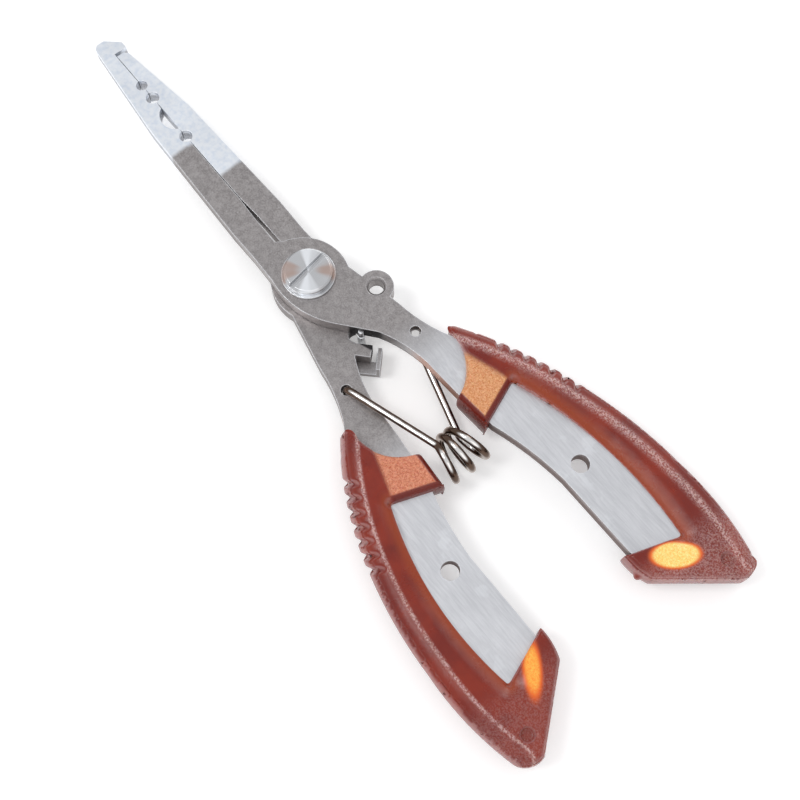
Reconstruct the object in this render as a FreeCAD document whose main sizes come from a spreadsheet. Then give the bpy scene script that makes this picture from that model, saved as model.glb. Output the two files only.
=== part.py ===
"""Fishing pliers: two crossed steel halves on a slotted shoulder screw, with a
wire return spring, a swinging lock lever and moulded grips.

Frame: millimetres; origin on the pivot axis, in the plane the pliers lie on;
X runs to the jaw tips, Z is up, Y is towards the grip of the lower half.
"""
import FreeCAD, Part
import math
import os
import Sketcher

SIZES = [
    # --- levels along Z
    ("foot_height", 1.8, "height of the pivot nut under the lower half"),
    ("plate_thickness", 3.2, "thickness of both stamped halves"),
    ("plate_gap", 0.05, "running gap between stacked moving faces"),
    ("washer_thickness", 0.5, "washer under the screw head"),
    ("head_height", 1.5, "height of the screw head"),
    ("head_chamfer", 0.45, "chamfer on the rim of the screw head"),
    ("stack_margin", 12.0, "extra length of the slabs that trim the halves"),
    # --- pivot
    ("shoulder_radius", 2.75, "shoulder of the pivot screw"),
    ("running_clearance", 0.04, "radial clearance of the turning half"),
    ("seat_clearance", 0.02, "radial clearance of parts that sit still"),
    ("thread_radius", 2.0, "threaded end of the pivot screw"),
    ("head_radius", 4.75, "screw head"),
    ("washer_radius", 5.25, "washer under the head"),
    ("slot_length", 14.0, "length of the cutter path of the slot"),
    ("slot_width", 1.1, "screwdriver slot"),
    ("slot_depth", 0.9, "screwdriver slot"),
    ("slot_angle", 99.0, "direction of the slot, degrees from X"),
    ("nut_width", 9.0, "across the flats of the pivot nut"),
    # --- jaws
    ("seam_gap", 0.06, "half of the gap between the closed jaws"),
    ("jaw_length", 69.9, "pivot to the end of the hooked jaw"),
    ("short_jaw_length", 65.0, "pivot to the end of the straight jaw"),
    ("hook_inner", 65.7, "pivot to the inner face of the hook"),
    ("hook_reach", 2.9, "how far the hook crosses the seam"),
    ("hook_slope", 2.6, "length of the slanted end of the hook"),
    ("tip_half", 2.5, "jaw width at the tip"),
    ("tip_corner", 0.8, "cut corner at the jaw tip"),
    ("jaw_bend_x", 46.0, "station where the jaw starts to narrow faster"),
    ("jaw_bend_half", 4.8, "jaw width at that station"),
    ("jaw_root_x", 3.5, "station where the jaw joins the boss"),
    ("jaw_root_half", 6.2, "jaw width at the boss"),
    ("groove_end", 22.0, "end of the tapering groove between the jaws"),
    ("groove_start", 9.6, "start of the tapering groove"),
    ("groove_half", 0.8, "half width of the groove at its start"),
    ("jog_start", 9.8, "start of the offset that brings the jaws level"),
    ("jog_length", 7.0, "length of the offset"),
    ("tip_notch_x", 56.0, "small notch nearest the tip"),
    ("tip_notch_radius", 1.15, "small notch nearest the tip"),
    ("split_notch_x", 52.2, "second small notch"),
    ("split_notch_radius", 1.35, "second small notch"),
    ("crimp_x", 46.0, "middle of the long curved notch"),
    ("crimp_length", 6.2, "length of the long curved notch"),
    ("crimp_depth", 1.9, "depth of the long curved notch"),
    ("round_notch_x", 40.6, "round hole split by the seam"),
    ("round_notch_radius", 1.3, "round hole split by the seam"),
    # --- boss and arms of the halves
    ("boss_front_x", 8.7, "front of the boss"),
    ("boss_front_y", 0.6, "front of the boss"),
    ("boss_back_x", 3.5, "back of the boss"),
    ("boss_back_y", 7.0, "back of the boss"),
    ("boss_bulge", 3.0, "rise of the boss arc"),
    ("crotch_x", 11.3, "inner edge behind the pivot"),
    ("crotch_y", 2.3, "inner edge behind the pivot"),
    ("crotch_bulge", 1.7, "rise of the inner edge arc"),
    ("throat_x", 17.7, "inner edge of the arm beside the lock"),
    ("throat_y", 2.9, "inner edge of the arm beside the lock"),
    ("neck_x", 29.8, "inner edge of the arm before the grip"),
    ("neck_y", 6.2, "inner edge of the arm before the grip"),
    ("neck_bulge", 0.7, "hollow of the inner edge"),
    ("arm_root_x", 15.5, "outer edge of the arm behind the boss"),
    ("arm_root_y", 9.6, "outer edge of the arm behind the boss"),
    ("shoulder_x", 26.6, "outer edge of the arm before the grip"),
    ("shoulder_y", 12.8, "outer edge of the arm before the grip"),
    ("shoulder_hollow", 0.5, "hollow of the outer edge"),
    ("arm_jog_start", 28.5, "start of the offset that levels the tangs"),
    ("arm_jog_length", 7.5, "length of that offset"),
    # --- tangs, the part of the halves inside the grips
    ("tang_front_x", 45.0, "inner edge of the tang at the collar"),
    ("tang_front_y", 7.9, "inner edge of the tang at the collar"),
    ("tang_waist_x", 61.0, "inner edge of the tang"),
    ("tang_waist_y", 11.2, "inner edge of the tang"),
    ("tang_hollow", 0.5, "hollow of the inner edge before that"),
    ("tang_rear_x", 78.5, "inner edge of the tang at the end cap"),
    ("tang_rear_y", 11.3, "inner edge of the tang at the end cap"),
    ("tang_heel_x", 85.8, "tang inside the end cap"),
    ("tang_heel_y", 14.8, "tang inside the end cap"),
    ("tang_end_x", 91.0, "end of the tang"),
    ("tang_end_y", 21.5, "end of the tang"),
    ("tang_tail_x", 89.6, "outer corner at the end of the tang"),
    ("tang_tail_y", 25.6, "outer corner at the end of the tang"),
    ("tang_back_x", 72.0, "outer edge of the tang"),
    ("tang_back_y", 27.2, "outer edge of the tang"),
    ("tang_side_x", 48.0, "outer edge of the tang"),
    ("tang_side_y", 22.8, "outer edge of the tang"),
    ("tang_bulge", 0.8, "rise of the outer edge arcs"),
    ("handle_hole_x", 60.7, "hole through each handle"),
    ("handle_hole_y", 15.5, "hole through each handle"),
    ("handle_hole_radius", 1.75, "hole through each handle"),
    # --- lanyard ear on the upper half
    ("ear_x", 10.1, "lanyard hole"),
    ("ear_y", 8.5, "lanyard hole"),
    ("ear_radius", 3.4, "ear around the lanyard hole"),
    ("ear_hole_radius", 1.5, "lanyard hole"),
    ("ear_countersink", 0.45, "chamfer of the lanyard hole"),
    # --- stop tooth on the lower half
    ("tooth_x", 18.9, "free end of the stop tooth"),
    ("tooth_y", 0.2, "free end of the stop tooth"),
    ("tooth_length", 5.0, "stop tooth from its free end into the arm"),
    ("tooth_width", 2.5, "stop tooth across"),
    ("tooth_angle", 42.0, "direction of the stop tooth, degrees"),
    ("gullet_x", 14.4, "round relief beside the tooth"),
    ("gullet_y", 0.2, "round relief beside the tooth"),
    ("gullet_radius", 1.3, "round relief beside the tooth"),
    # --- return spring
    ("wire_radius", 0.75, "spring wire"),
    ("spring_hole_x", 22.0, "spring hole in each arm"),
    ("spring_hole_y", 8.4, "spring hole in each arm"),
    ("spring_hole_clearance", 0.3, "radial play of the wire in its holes"),
    ("coil_front_x", 40.3, "nearest point of the coil, where it flexes"),
    ("coil_radius", 4.15, "mean radius of the turns"),
    ("coil_height", 5.0, "height of the coil axis"),
    ("turn_half_gap", 0.11, "half of the gap between the two inner turns at the front"),
    ("turn_gap", 0.06, "gap between an inner and an outer turn at the front"),
    ("turn_first_angle", 15.9, "plan angle of the inner turn, degrees"),
    ("turn_second_angle", 18.5, "plan angle of the outer turn, degrees"),
    ("leg_lift", 0.1, "gap between a leg and the face it lies on"),
    ("pin_rise", 0.4, "how far the spring end stands out of the upper half"),
    ("leg_exit_angle", 65.0, "where a leg leaves its turn, degrees above the coil axis"),
    # --- lock
    ("lever_thickness", 1.3, "lock lever"),
    ("lever_gap", 0.1, "gap between the lever and the arm above it"),
    ("lever_pivot_x", 16.2, "rivet of the lock lever"),
    ("lever_pivot_y", 5.6, "rivet of the lock lever"),
    ("lever_width", 2.6, "arm of the lock lever"),
    ("lever_round", 1.1, "rise of the round end of the lever"),
    ("lever_locked_angle", -100.0, "direction of the lever when locked, degrees from X"),
    ("lever_park_angle", 35.0, "lever turned back from the catch, degrees"),
    ("hook_clearance", 0.1, "gap between the lever hook and the catch when locked"),
    ("hook_side_gap", 0.15, "gap between the lever arm and the catch when locked"),
    ("lever_hook", 1.9, "length of the lever hook"),
    ("lever_hook_width", 1.1, "width of the lever hook"),
    ("tab_thickness", 0.8, "upstanding tab at the end of the lever"),
    ("tab_height", 4.6, "top of the tab above the table"),
    ("rivet_radius", 1.1, "rivet of the lock lever"),
    ("rivet_foot_radius", 1.9, "head of the rivet under the lever"),
    ("rivet_lift", 0.1, "clear height under the rivet"),
    ("rivet_depth", 2.0, "blind seat of the rivet in the lower half"),
    ("catch_reach", 6.0, "rivet to the catch peg, along the locked lever"),
    ("catch_radius", 0.75, "catch peg under the upper half"),
    ("catch_drop", 0.4, "clear height under the catch peg"),
    ("catch_seat_radius", 0.55, "blind seat of the catch peg"),
    ("catch_depth", 2.0, "blind seat of the catch peg"),
    # --- grips
    ("grip_rise", 10.0, "thickness of the grip at the collar"),
    ("rim_inset", 1.6, "how much thinner the grip is on each face behind"),
    ("collar_end", 46.6, "end of the full-thickness collar"),
    ("collar_ramp", 4.5, "length of the step down behind the collar"),
    ("nose_x", 26.8, "front point of the grip"),
    ("nose_y", 15.2, "front point of the grip"),
    ("nose_inner_x", 28.8, "front edge of the collar"),
    ("nose_inner_y", 13.2, "front edge of the collar"),
    ("nose_round", 0.7, "rise of the blunt front of the grip"),
    ("collar_hollow", 2.2, "hollow of the front edge of the collar"),
    ("lip_x", 38.9, "inner lip of the collar"),
    ("lip_y", 5.8, "inner lip of the collar"),
    ("lip_rear_x", 46.7, "inner lip of the collar"),
    ("lip_rear_y", 6.4, "inner lip of the collar"),
    ("collar_rear_x", 43.0, "outer end of the rear edge of the collar"),
    ("collar_rear_y", 16.2, "outer end of the rear edge of the collar"),
    ("collar_shift", 1.9, "left collar further back, right collar further forward"),
    ("window_rear_x", 82.0, "rear corner of the open side window"),
    ("window_rear_y", 20.4, "rear corner of the open side window"),
    ("window_bulge", 2.6, "rise of the window edge"),
    ("cap_lip_x", 78.2, "inner lip of the end cap"),
    ("cap_lip_y", 9.6, "inner lip of the end cap"),
    ("cap_heel_x", 84.6, "inner heel of the end cap"),
    ("cap_heel_y", 10.7, "inner heel of the end cap"),
    ("cap_heel_bulge", 0.4, "rise of the heel arc"),
    ("cap_end_x", 94.9, "end of the grip"),
    ("cap_end_y", 23.4, "end of the grip"),
    ("cap_outer_x", 92.6, "outer corner of the end cap"),
    ("cap_outer_y", 28.3, "outer corner of the end cap"),
    ("cap_bulge", 1.1, "rise of the end cap corner"),
    ("grip_back_x", 72.0, "widest point of the grip"),
    ("grip_back_y", 30.0, "widest point of the grip"),
    ("grip_side_x", 48.0, "outer edge of the grip"),
    ("grip_side_y", 25.6, "outer edge of the grip"),
    ("grip_bulge", 0.9, "rise of the outer edge arcs"),
    ("rib_first", 5.0, "front of the grip to its first finger groove"),
    ("rib_step", 2.8, "spacing of the finger grooves"),
    ("rib_offset", 0.95, "centres of the finger grooves outside the chord of the edge"),
    ("rib_radius", 0.75, "finger grooves of the grip"),
    ("dimple_x", 90.3, "dimple in the end cap"),
    ("dimple_y", 23.5, "dimple in the end cap"),
    ("dimple_radius", 1.35, "dimple in the end cap"),
    ("dimple_depth", 0.6, "dimple in the end cap"),
]
RIB_COUNT = 6
WIRE_SIDES = 10


class Size:
    """A length with the sheet expression that gives it."""

    def __init__(self, value, text):
        self.value = float(value)
        self.text = text

    @staticmethod
    def of(other):
        return other if isinstance(other, Size) else Size(other, repr(float(other)))

    def __add__(self, other):
        other = Size.of(other)
        return Size(self.value + other.value, "(%s + %s)" % (self.text, other.text))

    __radd__ = __add__

    def __neg__(self):
        return Size(-self.value, "(-1 * %s)" % self.text)

    def __sub__(self, other):
        return self + (-Size.of(other))

    def __rsub__(self, other):
        return Size.of(other) + (-self)

    def __mul__(self, other):
        other = Size.of(other)
        return Size(self.value * other.value, "(%s * %s)" % (self.text, other.text))

    __rmul__ = __mul__

    def __truediv__(self, other):
        other = Size.of(other)
        return Size(self.value / other.value, "(%s / %s)" % (self.text, other.text))

    def cos(self):
        return Size(math.cos(math.radians(self.value)), "cos(%s * 1 deg)" % self.text)

    def sin(self):
        return Size(math.sin(math.radians(self.value)), "sin(%s * 1 deg)" % self.text)

    def sqrt(self):
        return Size(math.sqrt(self.value), "sqrt(%s)" % self.text)

    def atan2(self, run):
        run = Size.of(run)
        angle = math.degrees(math.atan2(self.value, run.value))
        return Size(angle, "(atan2(%s; %s) / 1 deg)" % (self.text, run.text))


doc = FreeCAD.newDocument("fishing_pliers")
sheet = doc.addObject("Spreadsheet::Sheet", "dims")
size = {}
for row, (name, value, note) in enumerate(SIZES, start=1):
    sheet.set("A%d" % row, name)
    sheet.set("B%d" % row, str(value))
    sheet.set("C%d" % row, note)
    sheet.setAlias("B%d" % row, name)
    size[name] = Size(value, "dims." + name)
doc.recompute()


def bind(obj, prop, amount):
    """Set a property and tie it to the sheet."""
    amount = Size.of(amount)
    setattr(obj, prop, amount.value)
    obj.setExpression(prop, amount.text)


def place(obj, x=0.0, y=0.0, z=0.0, yaw=None):
    """Put an object at a bound position, turned about Z by a bound angle."""
    for prop, amount in (("x", x), ("y", y), ("z", z)):
        obj.setExpression("Placement.Base." + prop, Size.of(amount).text)
    if yaw is not None:
        obj.Placement.Rotation = FreeCAD.Rotation(FreeCAD.Vector(0, 0, 1), yaw.value)
        obj.setExpression("Placement.Rotation.Angle", "%s * 1 deg" % yaw.text)


def outline(name, corners, bulges, upright=False):
    """Closed sketch through bound corners; bulges[i] bows the edge after corner i."""
    sketch = doc.addObject("Sketcher::SketchObject", name)
    if upright:
        sketch.Placement.Rotation = FreeCAD.Rotation(FreeCAD.Vector(1, 0, 0), 90)
    count = len(corners)
    heads = []
    rules = []
    texts = []
    for i in range(count):
        (ax, ay), (bx, by) = corners[i], corners[(i + 1) % count]
        start = FreeCAD.Vector(ax.value, ay.value, 0)
        end = FreeCAD.Vector(bx.value, by.value, 0)
        if i in bulges:
            rise = bulges[i]
            run = end - start
            left = FreeCAD.Vector(-run.y, run.x, 0).normalize()
            middle = (start + end) * 0.5 + left * rise.value
            if rise.value < 0:
                sketch.addGeometry(Part.Arc(start, middle, end), False)
                heads.append((1, 2))
            else:
                sketch.addGeometry(Part.Arc(end, middle, start), False)
                heads.append((2, 1))
            dx, dy = bx - ax, by - ay
            amount = rise if rise.value > 0 else -rise
            radius = ((dx * dx + dy * dy) / 4 + amount * amount) / (2 * amount)
            rules.append(Sketcher.Constraint("Radius", i, radius.value))
            texts.append(radius.text)
        else:
            sketch.addGeometry(Part.LineSegment(start, end), False)
            heads.append((1, 2))
    for i in range(count):
        nxt = (i + 1) % count
        rules.append(Sketcher.Constraint("Coincident", i, heads[i][1], nxt, heads[nxt][0]))
        texts.append(None)
        for axis, amount in (("DistanceX", corners[i][0]), ("DistanceY", corners[i][1])):
            rules.append(Sketcher.Constraint(axis, -1, 1, i, heads[i][0], amount.value))
            texts.append(amount.text)
    sketch.addConstraint(rules)
    for index, text in enumerate(texts):
        if text is not None:
            sketch.setExpression("Constraints[%d]" % index, text)
    return sketch


def prism(name, sketch, height, both=False):
    """Solid pad of a closed sketch."""
    pad = doc.addObject("Part::Extrusion", name)
    pad.Base = sketch
    pad.DirMode = "Normal"
    pad.Solid = True
    pad.Symmetric = both
    bind(pad, "LengthFwd", height)
    return pad


def cylinder(name, radius, height, x=0.0, y=0.0, z=0.0):
    rod = doc.addObject("Part::Cylinder", name)
    bind(rod, "Radius", radius)
    bind(rod, "Height", height)
    place(rod, x, y, z)
    return rod


def cone(name, low, high, height, x=0.0, y=0.0, z=0.0):
    taper = doc.addObject("Part::Cone", name)
    bind(taper, "Radius1", low)
    bind(taper, "Radius2", high)
    bind(taper, "Height", height)
    place(taper, x, y, z)
    return taper


def box(name, length, width, height, x, y, z, yaw=None):
    block = doc.addObject("Part::Box", name)
    bind(block, "Length", length)
    bind(block, "Width", width)
    bind(block, "Height", height)
    place(block, x, y, z, yaw)
    return block


def fuse(name, shapes):
    joined = doc.addObject("Part::MultiFuse", name)
    joined.Shapes = shapes
    joined.Refine = True
    return joined


def common(name, shapes):
    kept = doc.addObject("Part::MultiCommon", name)
    kept.Shapes = shapes
    return kept


def cut(name, base, tools):
    tool = tools[0] if len(tools) == 1 else fuse(name + "_tools", tools)
    result = doc.addObject("Part::Cut", name)
    result.Base = base
    result.Tool = tool
    return result


s = size
thick = s["plate_thickness"]
lower_z = s["foot_height"]
upper_z = lower_z + thick + s["plate_gap"]
upper_top = upper_z + thick
level_z = lower_z + thick / 2
washer_z = upper_top + s["plate_gap"]
head_z = washer_z + s["washer_thickness"]
head_top = head_z + s["head_height"]
tall = head_top + s["stack_margin"]
zero = Size(0.0, "0")


def half_corners(side, hooked):
    """Plan outline of a half; its jaw lies on the given side of the X axis."""
    def at(x, y):
        return (x, y if side > 0 else -y)

    seam = s["seam_gap"]
    corners = []
    bulges = {}

    def add(x, y, bulge=None):
        if bulge is not None:
            bulges[len(corners)] = bulge if side > 0 else -bulge
        corners.append(at(x, y))

    if hooked:
        add(s["hook_inner"], seam)
        add(s["hook_inner"], -s["hook_reach"])
        add(s["jaw_length"] - s["hook_slope"], -s["hook_reach"])
        add(s["jaw_length"], zero)
        add(s["jaw_length"], s["tip_half"] - s["tip_corner"])
        add(s["jaw_length"] - s["tip_corner"], s["tip_half"])
    else:
        add(s["short_jaw_length"], seam)
        add(s["short_jaw_length"], s["tip_half"] - s["tip_corner"])
        add(s["short_jaw_length"] - s["tip_corner"], s["tip_half"])
    add(s["jaw_bend_x"], s["jaw_bend_half"])
    add(s["jaw_root_x"], s["jaw_root_half"], -s["crotch_bulge"])
    add(-s["crotch_x"], s["crotch_y"])
    add(-s["throat_x"], -s["throat_y"], s["neck_bulge"])
    add(-s["neck_x"], -s["neck_y"])
    add(-s["tang_front_x"], -s["tang_front_y"], s["tang_hollow"])
    add(-s["tang_waist_x"], -s["tang_waist_y"])
    add(-s["tang_rear_x"], -s["tang_rear_y"])
    add(-s["tang_heel_x"], -s["tang_heel_y"])
    add(-s["tang_end_x"], -s["tang_end_y"], -s["tang_bulge"])
    add(-s["tang_tail_x"], -s["tang_tail_y"])
    add(-s["tang_back_x"], -s["tang_back_y"], -s["tang_bulge"])
    add(-s["tang_side_x"], -s["tang_side_y"], -s["tang_bulge"])
    add(-s["shoulder_x"], -s["shoulder_y"], s["shoulder_hollow"])
    add(-s["arm_root_x"], -s["arm_root_y"])
    add(-s["boss_back_x"], -s["boss_back_y"], -s["boss_bulge"])
    add(s["boss_front_x"], -s["boss_front_y"])
    add(s["groove_start"], s["groove_half"])
    add(s["groove_end"], seam)
    return corners, bulges


def side_profile(name, plain_z, offset):
    """Slab that follows the level of a half: flat joint, offset jaws and tang."""
    front, rear = s["jaw_length"] + s["stack_margin"], -s["tang_end_x"] - s["stack_margin"]
    path = [
        (rear, plain_z + offset),
        (-s["arm_jog_start"] - s["arm_jog_length"], plain_z + offset),
        (-s["arm_jog_start"], plain_z),
        (s["jog_start"], plain_z),
        (s["jog_start"] + s["jog_length"], plain_z + offset),
        (front, plain_z + offset),
    ]
    ring = path + [(x, z + thick) for x, z in reversed(path)]
    sketch = outline(name + "_side", ring, {}, upright=True)
    return prism(name + "_slab", sketch, 2 * s["grip_back_y"] + s["stack_margin"], both=True)


def jaw_notches(name):
    """Notches that both jaws share along the seam."""
    return [
        cylinder(name + "_tip_notch", s["tip_notch_radius"], tall, s["tip_notch_x"]),
        cylinder(name + "_split_notch", s["split_notch_radius"], tall, s["split_notch_x"]),
        cylinder(name + "_round_notch", s["round_notch_radius"], tall, s["round_notch_x"]),
    ]


def half(name, side, hooked, plain_z, offset, bore, extra, cuts):
    """One stamped half of the pliers."""
    corners, bulges = half_corners(side, hooked)
    plan = prism(name + "_plan", outline(name + "_outline", corners, bulges), tall)
    blank = fuse(name + "_blank", [plan] + extra) if extra else plan
    plate = common(name + "_plate", [blank, side_profile(name, plain_z, offset)])
    holes = [
        cylinder(name + "_bore", bore, tall),
        cylinder(name + "_spring_hole", s["wire_radius"] + s["spring_hole_clearance"], tall,
                 -s["spring_hole_x"], side * -s["spring_hole_y"]),
        cylinder(name + "_handle_hole", s["handle_hole_radius"], tall,
                 -s["handle_hole_x"], side * -s["handle_hole_y"]),
    ]
    return cut(name, plate, holes + jaw_notches(name) + cuts)


# --- place of the catch peg, beside the locked lever
locked = s["lever_locked_angle"]
lever_half = s["lever_width"] / 2
catch_side = lever_half + s["hook_side_gap"] + s["catch_radius"]
catch_x = s["catch_reach"] * locked.cos() - catch_side * locked.sin() - s["lever_pivot_x"]
catch_y = s["catch_reach"] * locked.sin() + catch_side * locked.cos() + s["lever_pivot_y"]

# --- upper half: hooked jaw at +Y, lanyard ear and handle at -Y
ear = cylinder("ear_disc", s["ear_radius"], tall, -s["ear_x"], -s["ear_y"])
crimp_radius = (s["crimp_length"] * s["crimp_length"] / 4
                + s["crimp_depth"] * s["crimp_depth"]) / (2 * s["crimp_depth"])
upper_half = half(
    "upper_half", 1, True, upper_z, -thick / 2,
    s["shoulder_radius"] + s["running_clearance"], [ear],
    [cylinder("ear_hole", s["ear_hole_radius"], tall, -s["ear_x"], -s["ear_y"]),
     cone("ear_sink", s["ear_hole_radius"], s["ear_hole_radius"] + s["ear_countersink"],
          s["ear_countersink"], -s["ear_x"], -s["ear_y"], upper_top - s["ear_countersink"]),
     cylinder("crimp", crimp_radius, tall, s["crimp_x"], s["crimp_depth"] - crimp_radius),
     cylinder("catch_seat", s["catch_seat_radius"], s["catch_depth"], catch_x, catch_y,
              upper_z)],
)

# --- lower half: straight jaw at -Y, handle at +Y, stop tooth between the arms
tooth_turn = s["tooth_angle"]
tooth = box("stop_tooth", s["tooth_length"], s["tooth_width"], tall,
            -s["tooth_x"] + s["tooth_width"] / 2 * tooth_turn.sin(),
            -s["tooth_y"] - s["tooth_width"] / 2 * tooth_turn.cos(), zero, tooth_turn)
lower_half = half(
    "lower_half", -1, False, lower_z, thick / 2,
    s["shoulder_radius"] + s["seat_clearance"], [tooth],
    [cylinder("gullet", s["gullet_radius"], tall, -s["gullet_x"], s["gullet_y"]),
     cylinder("rivet_seat", s["rivet_radius"] + s["seat_clearance"],
              lower_z + s["rivet_depth"] + s["seat_clearance"],
              -s["lever_pivot_x"], s["lever_pivot_y"])],
)

# --- pivot screw, washer and nut
slot_turn = s["slot_angle"]
screw_body = fuse("screw_body", [
    cylinder("screw_shoulder", s["shoulder_radius"], head_z - lower_z, 0.0, 0.0, lower_z),
    cylinder("screw_thread", s["thread_radius"], lower_z),
    cylinder("screw_head", s["head_radius"], s["head_height"] - s["head_chamfer"],
             0.0, 0.0, head_z),
    cone("screw_rim", s["head_radius"], s["head_radius"] - s["head_chamfer"],
         s["head_chamfer"], 0.0, 0.0, head_top - s["head_chamfer"]),
])
slot_back, slot_side = -s["slot_length"] / 2, s["slot_width"] / 2
slot = box("screw_slot", s["slot_length"], s["slot_width"], s["slot_depth"] * 2,
           slot_back * slot_turn.cos() + slot_side * slot_turn.sin(),
           slot_back * slot_turn.sin() - slot_side * slot_turn.cos(),
           head_top - s["slot_depth"], slot_turn)
pivot_screw = cut("pivot_screw", screw_body, [slot])
pivot_washer = cut("pivot_washer",
                   cylinder("washer_disc", s["washer_radius"], s["washer_thickness"],
                            0.0, 0.0, washer_z),
                   [cylinder("washer_bore", s["shoulder_radius"] + s["seat_clearance"], tall)])
hexagon = doc.addObject("Part::Prism", "nut_hexagon")
hexagon.Polygon = 6
bind(hexagon, "Circumradius", s["nut_width"] / Size(math.sqrt(3.0), "sqrt(3)"))
bind(hexagon, "Height", lower_z)
pivot_nut = cut("pivot_nut", hexagon,
                [cylinder("nut_bore", s["thread_radius"] + s["seat_clearance"], tall)])

# --- return spring: two bundles of turns with a leg each
wire = s["wire_radius"]
turn_first = wire + s["turn_half_gap"]
turn_second = turn_first + 2 * wire + s["turn_gap"]


def rod_between(name, start, end):
    """Wire piece between two bound points, as a cylinder turned to its slope."""
    dx, dy, dz = (end[i] - start[i] for i in range(3))
    flat = (dx * dx + dy * dy).sqrt()
    length = (dx * dx + dy * dy + dz * dz).sqrt()
    rod = doc.addObject("Part::Cylinder", name)
    bind(rod, "Radius", wire)
    bind(rod, "Height", length)
    turned = doc.addObject("Part::Compound", name + "_tilt")
    rod.Placement.Rotation = FreeCAD.Rotation(FreeCAD.Vector(0, 1, 0), 90)
    rod.setExpression("Placement.Rotation.Angle", "%s * 1 deg" % (90 - dz.atan2(flat)).text)
    turned.Links = [rod]
    place(turned, start[0], start[1], start[2], dy.atan2(dx))
    return turned


def knuckle(name, point):
    ball = doc.addObject("Part::Sphere", name)
    bind(ball, "Radius", wire)
    place(ball, *point)
    return ball


def turn(name, side, front_y, yaw):
    """One turn of the coil, standing on edge, swung out from its front."""
    section = doc.addObject("Part::RegularPolygon", name + "_section")
    section.Polygon = WIRE_SIDES
    bind(section, "Circumradius", wire)
    place(section, s["coil_radius"])
    ring = doc.addObject("Part::Revolution", name)
    ring.Source = section
    ring.Axis = (0, 1, 0)
    ring.Solid = True
    centre_x = -s["coil_front_x"] - s["coil_radius"] * yaw.cos()
    centre_y = side * (front_y + s["coil_radius"] * yaw.sin())
    place(ring, centre_x, centre_y, s["coil_height"], yaw * -side)
    return ring, (centre_x, centre_y)


def spring_half(name, side, leg_z, tip_z):
    """Two turns and the leg that ends in the hole of one arm."""
    inner = turn(name + "_turn_a", side, turn_first, s["turn_first_angle"])[0]
    outer, centre = turn(name + "_turn_b", side, turn_second, s["turn_second_angle"])
    hook = (-s["spring_hole_x"], side * s["spring_hole_y"])
    forward = s["coil_radius"] * s["leg_exit_angle"].cos()
    start = (centre[0] + forward * s["turn_second_angle"].cos(),
             centre[1] - side * forward * s["turn_second_angle"].sin(),
             s["coil_height"] + side * s["coil_radius"] * s["leg_exit_angle"].sin())
    knee = (hook[0], hook[1], leg_z)
    tip = (hook[0], hook[1], tip_z)
    low, high = (tip_z, leg_z) if tip_z.value < leg_z.value else (leg_z, tip_z)
    pin = cylinder(name + "_pin", wire, high - low, hook[0], hook[1], low)
    bridge = box(name + "_bridge", wire, 2 * wire, wire,
                 -s["coil_front_x"] - s["coil_radius"] - wire / 2,
                 side * (turn_first + turn_second) / 2 - wire
                 + side * s["coil_radius"] * s["turn_first_angle"].sin(),
                 s["coil_height"] - s["coil_radius"] - wire / 2 if side > 0
                 else s["coil_height"] + s["coil_radius"] - wire / 2)
    return fuse(name, [inner, outer, bridge, rod_between(name + "_leg", start, knee),
                       knuckle(name + "_knee", knee), pin])


spring_left = spring_half("spring_left", 1, lower_z + thick + s["leg_lift"] + wire,
                          lower_z + s["leg_lift"])
spring_right = spring_half("spring_right", -1, upper_z - s["leg_lift"] - wire,
                           upper_top + s["pin_rise"])

# --- lock: lever riveted under the lower half, catch peg under the upper half
lever_z = lower_z - s["lever_gap"] - s["lever_thickness"]
hook_face = s["catch_reach"] + s["catch_radius"] + s["hook_clearance"]
hook_end = hook_face + s["lever_hook_width"]
hook_tip = lever_half + s["lever_hook"]
lever_ring = [
    (zero, -lever_half),
    (hook_end, -lever_half),
    (hook_end, hook_tip),
    (hook_face, hook_tip),
    (hook_face, lever_half),
    (zero, lever_half),
]
lever_plan = prism("lever_plan", outline("lever_outline", lever_ring, {5: -s["lever_round"]}),
                   s["lever_thickness"])
lever_tab = box("lever_tab", s["tab_thickness"], hook_tip + lever_half,
                s["tab_height"] - lever_z, hook_end - s["tab_thickness"], -lever_half, zero)
lever_flat = cut("lever_flat", fuse("lever_body", [lever_plan, lever_tab]),
                 [cylinder("lever_bore", s["rivet_radius"] + s["running_clearance"], tall)])
lock_lever = doc.addObject("Part::Compound", "lock_lever")
lock_lever.Links = [lever_flat]
place(lock_lever, -s["lever_pivot_x"], s["lever_pivot_y"], lever_z,
      locked - s["lever_park_angle"])
lock_rivet = fuse("lock_rivet", [
    cylinder("rivet_shank", s["rivet_radius"], lower_z + s["rivet_depth"] - s["rivet_lift"],
             -s["lever_pivot_x"], s["lever_pivot_y"], s["rivet_lift"]),
    cylinder("rivet_foot", s["rivet_foot_radius"],
             lever_z - s["plate_gap"] - s["rivet_lift"],
             -s["lever_pivot_x"], s["lever_pivot_y"], s["rivet_lift"]),
])
lock_catch = fuse("lock_catch", [
    cylinder("catch_peg", s["catch_radius"], upper_z - s["catch_drop"],
             catch_x, catch_y, s["catch_drop"]),
    cylinder("catch_shank", s["catch_seat_radius"], s["catch_depth"], catch_x, catch_y,
             upper_z),
])


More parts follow.
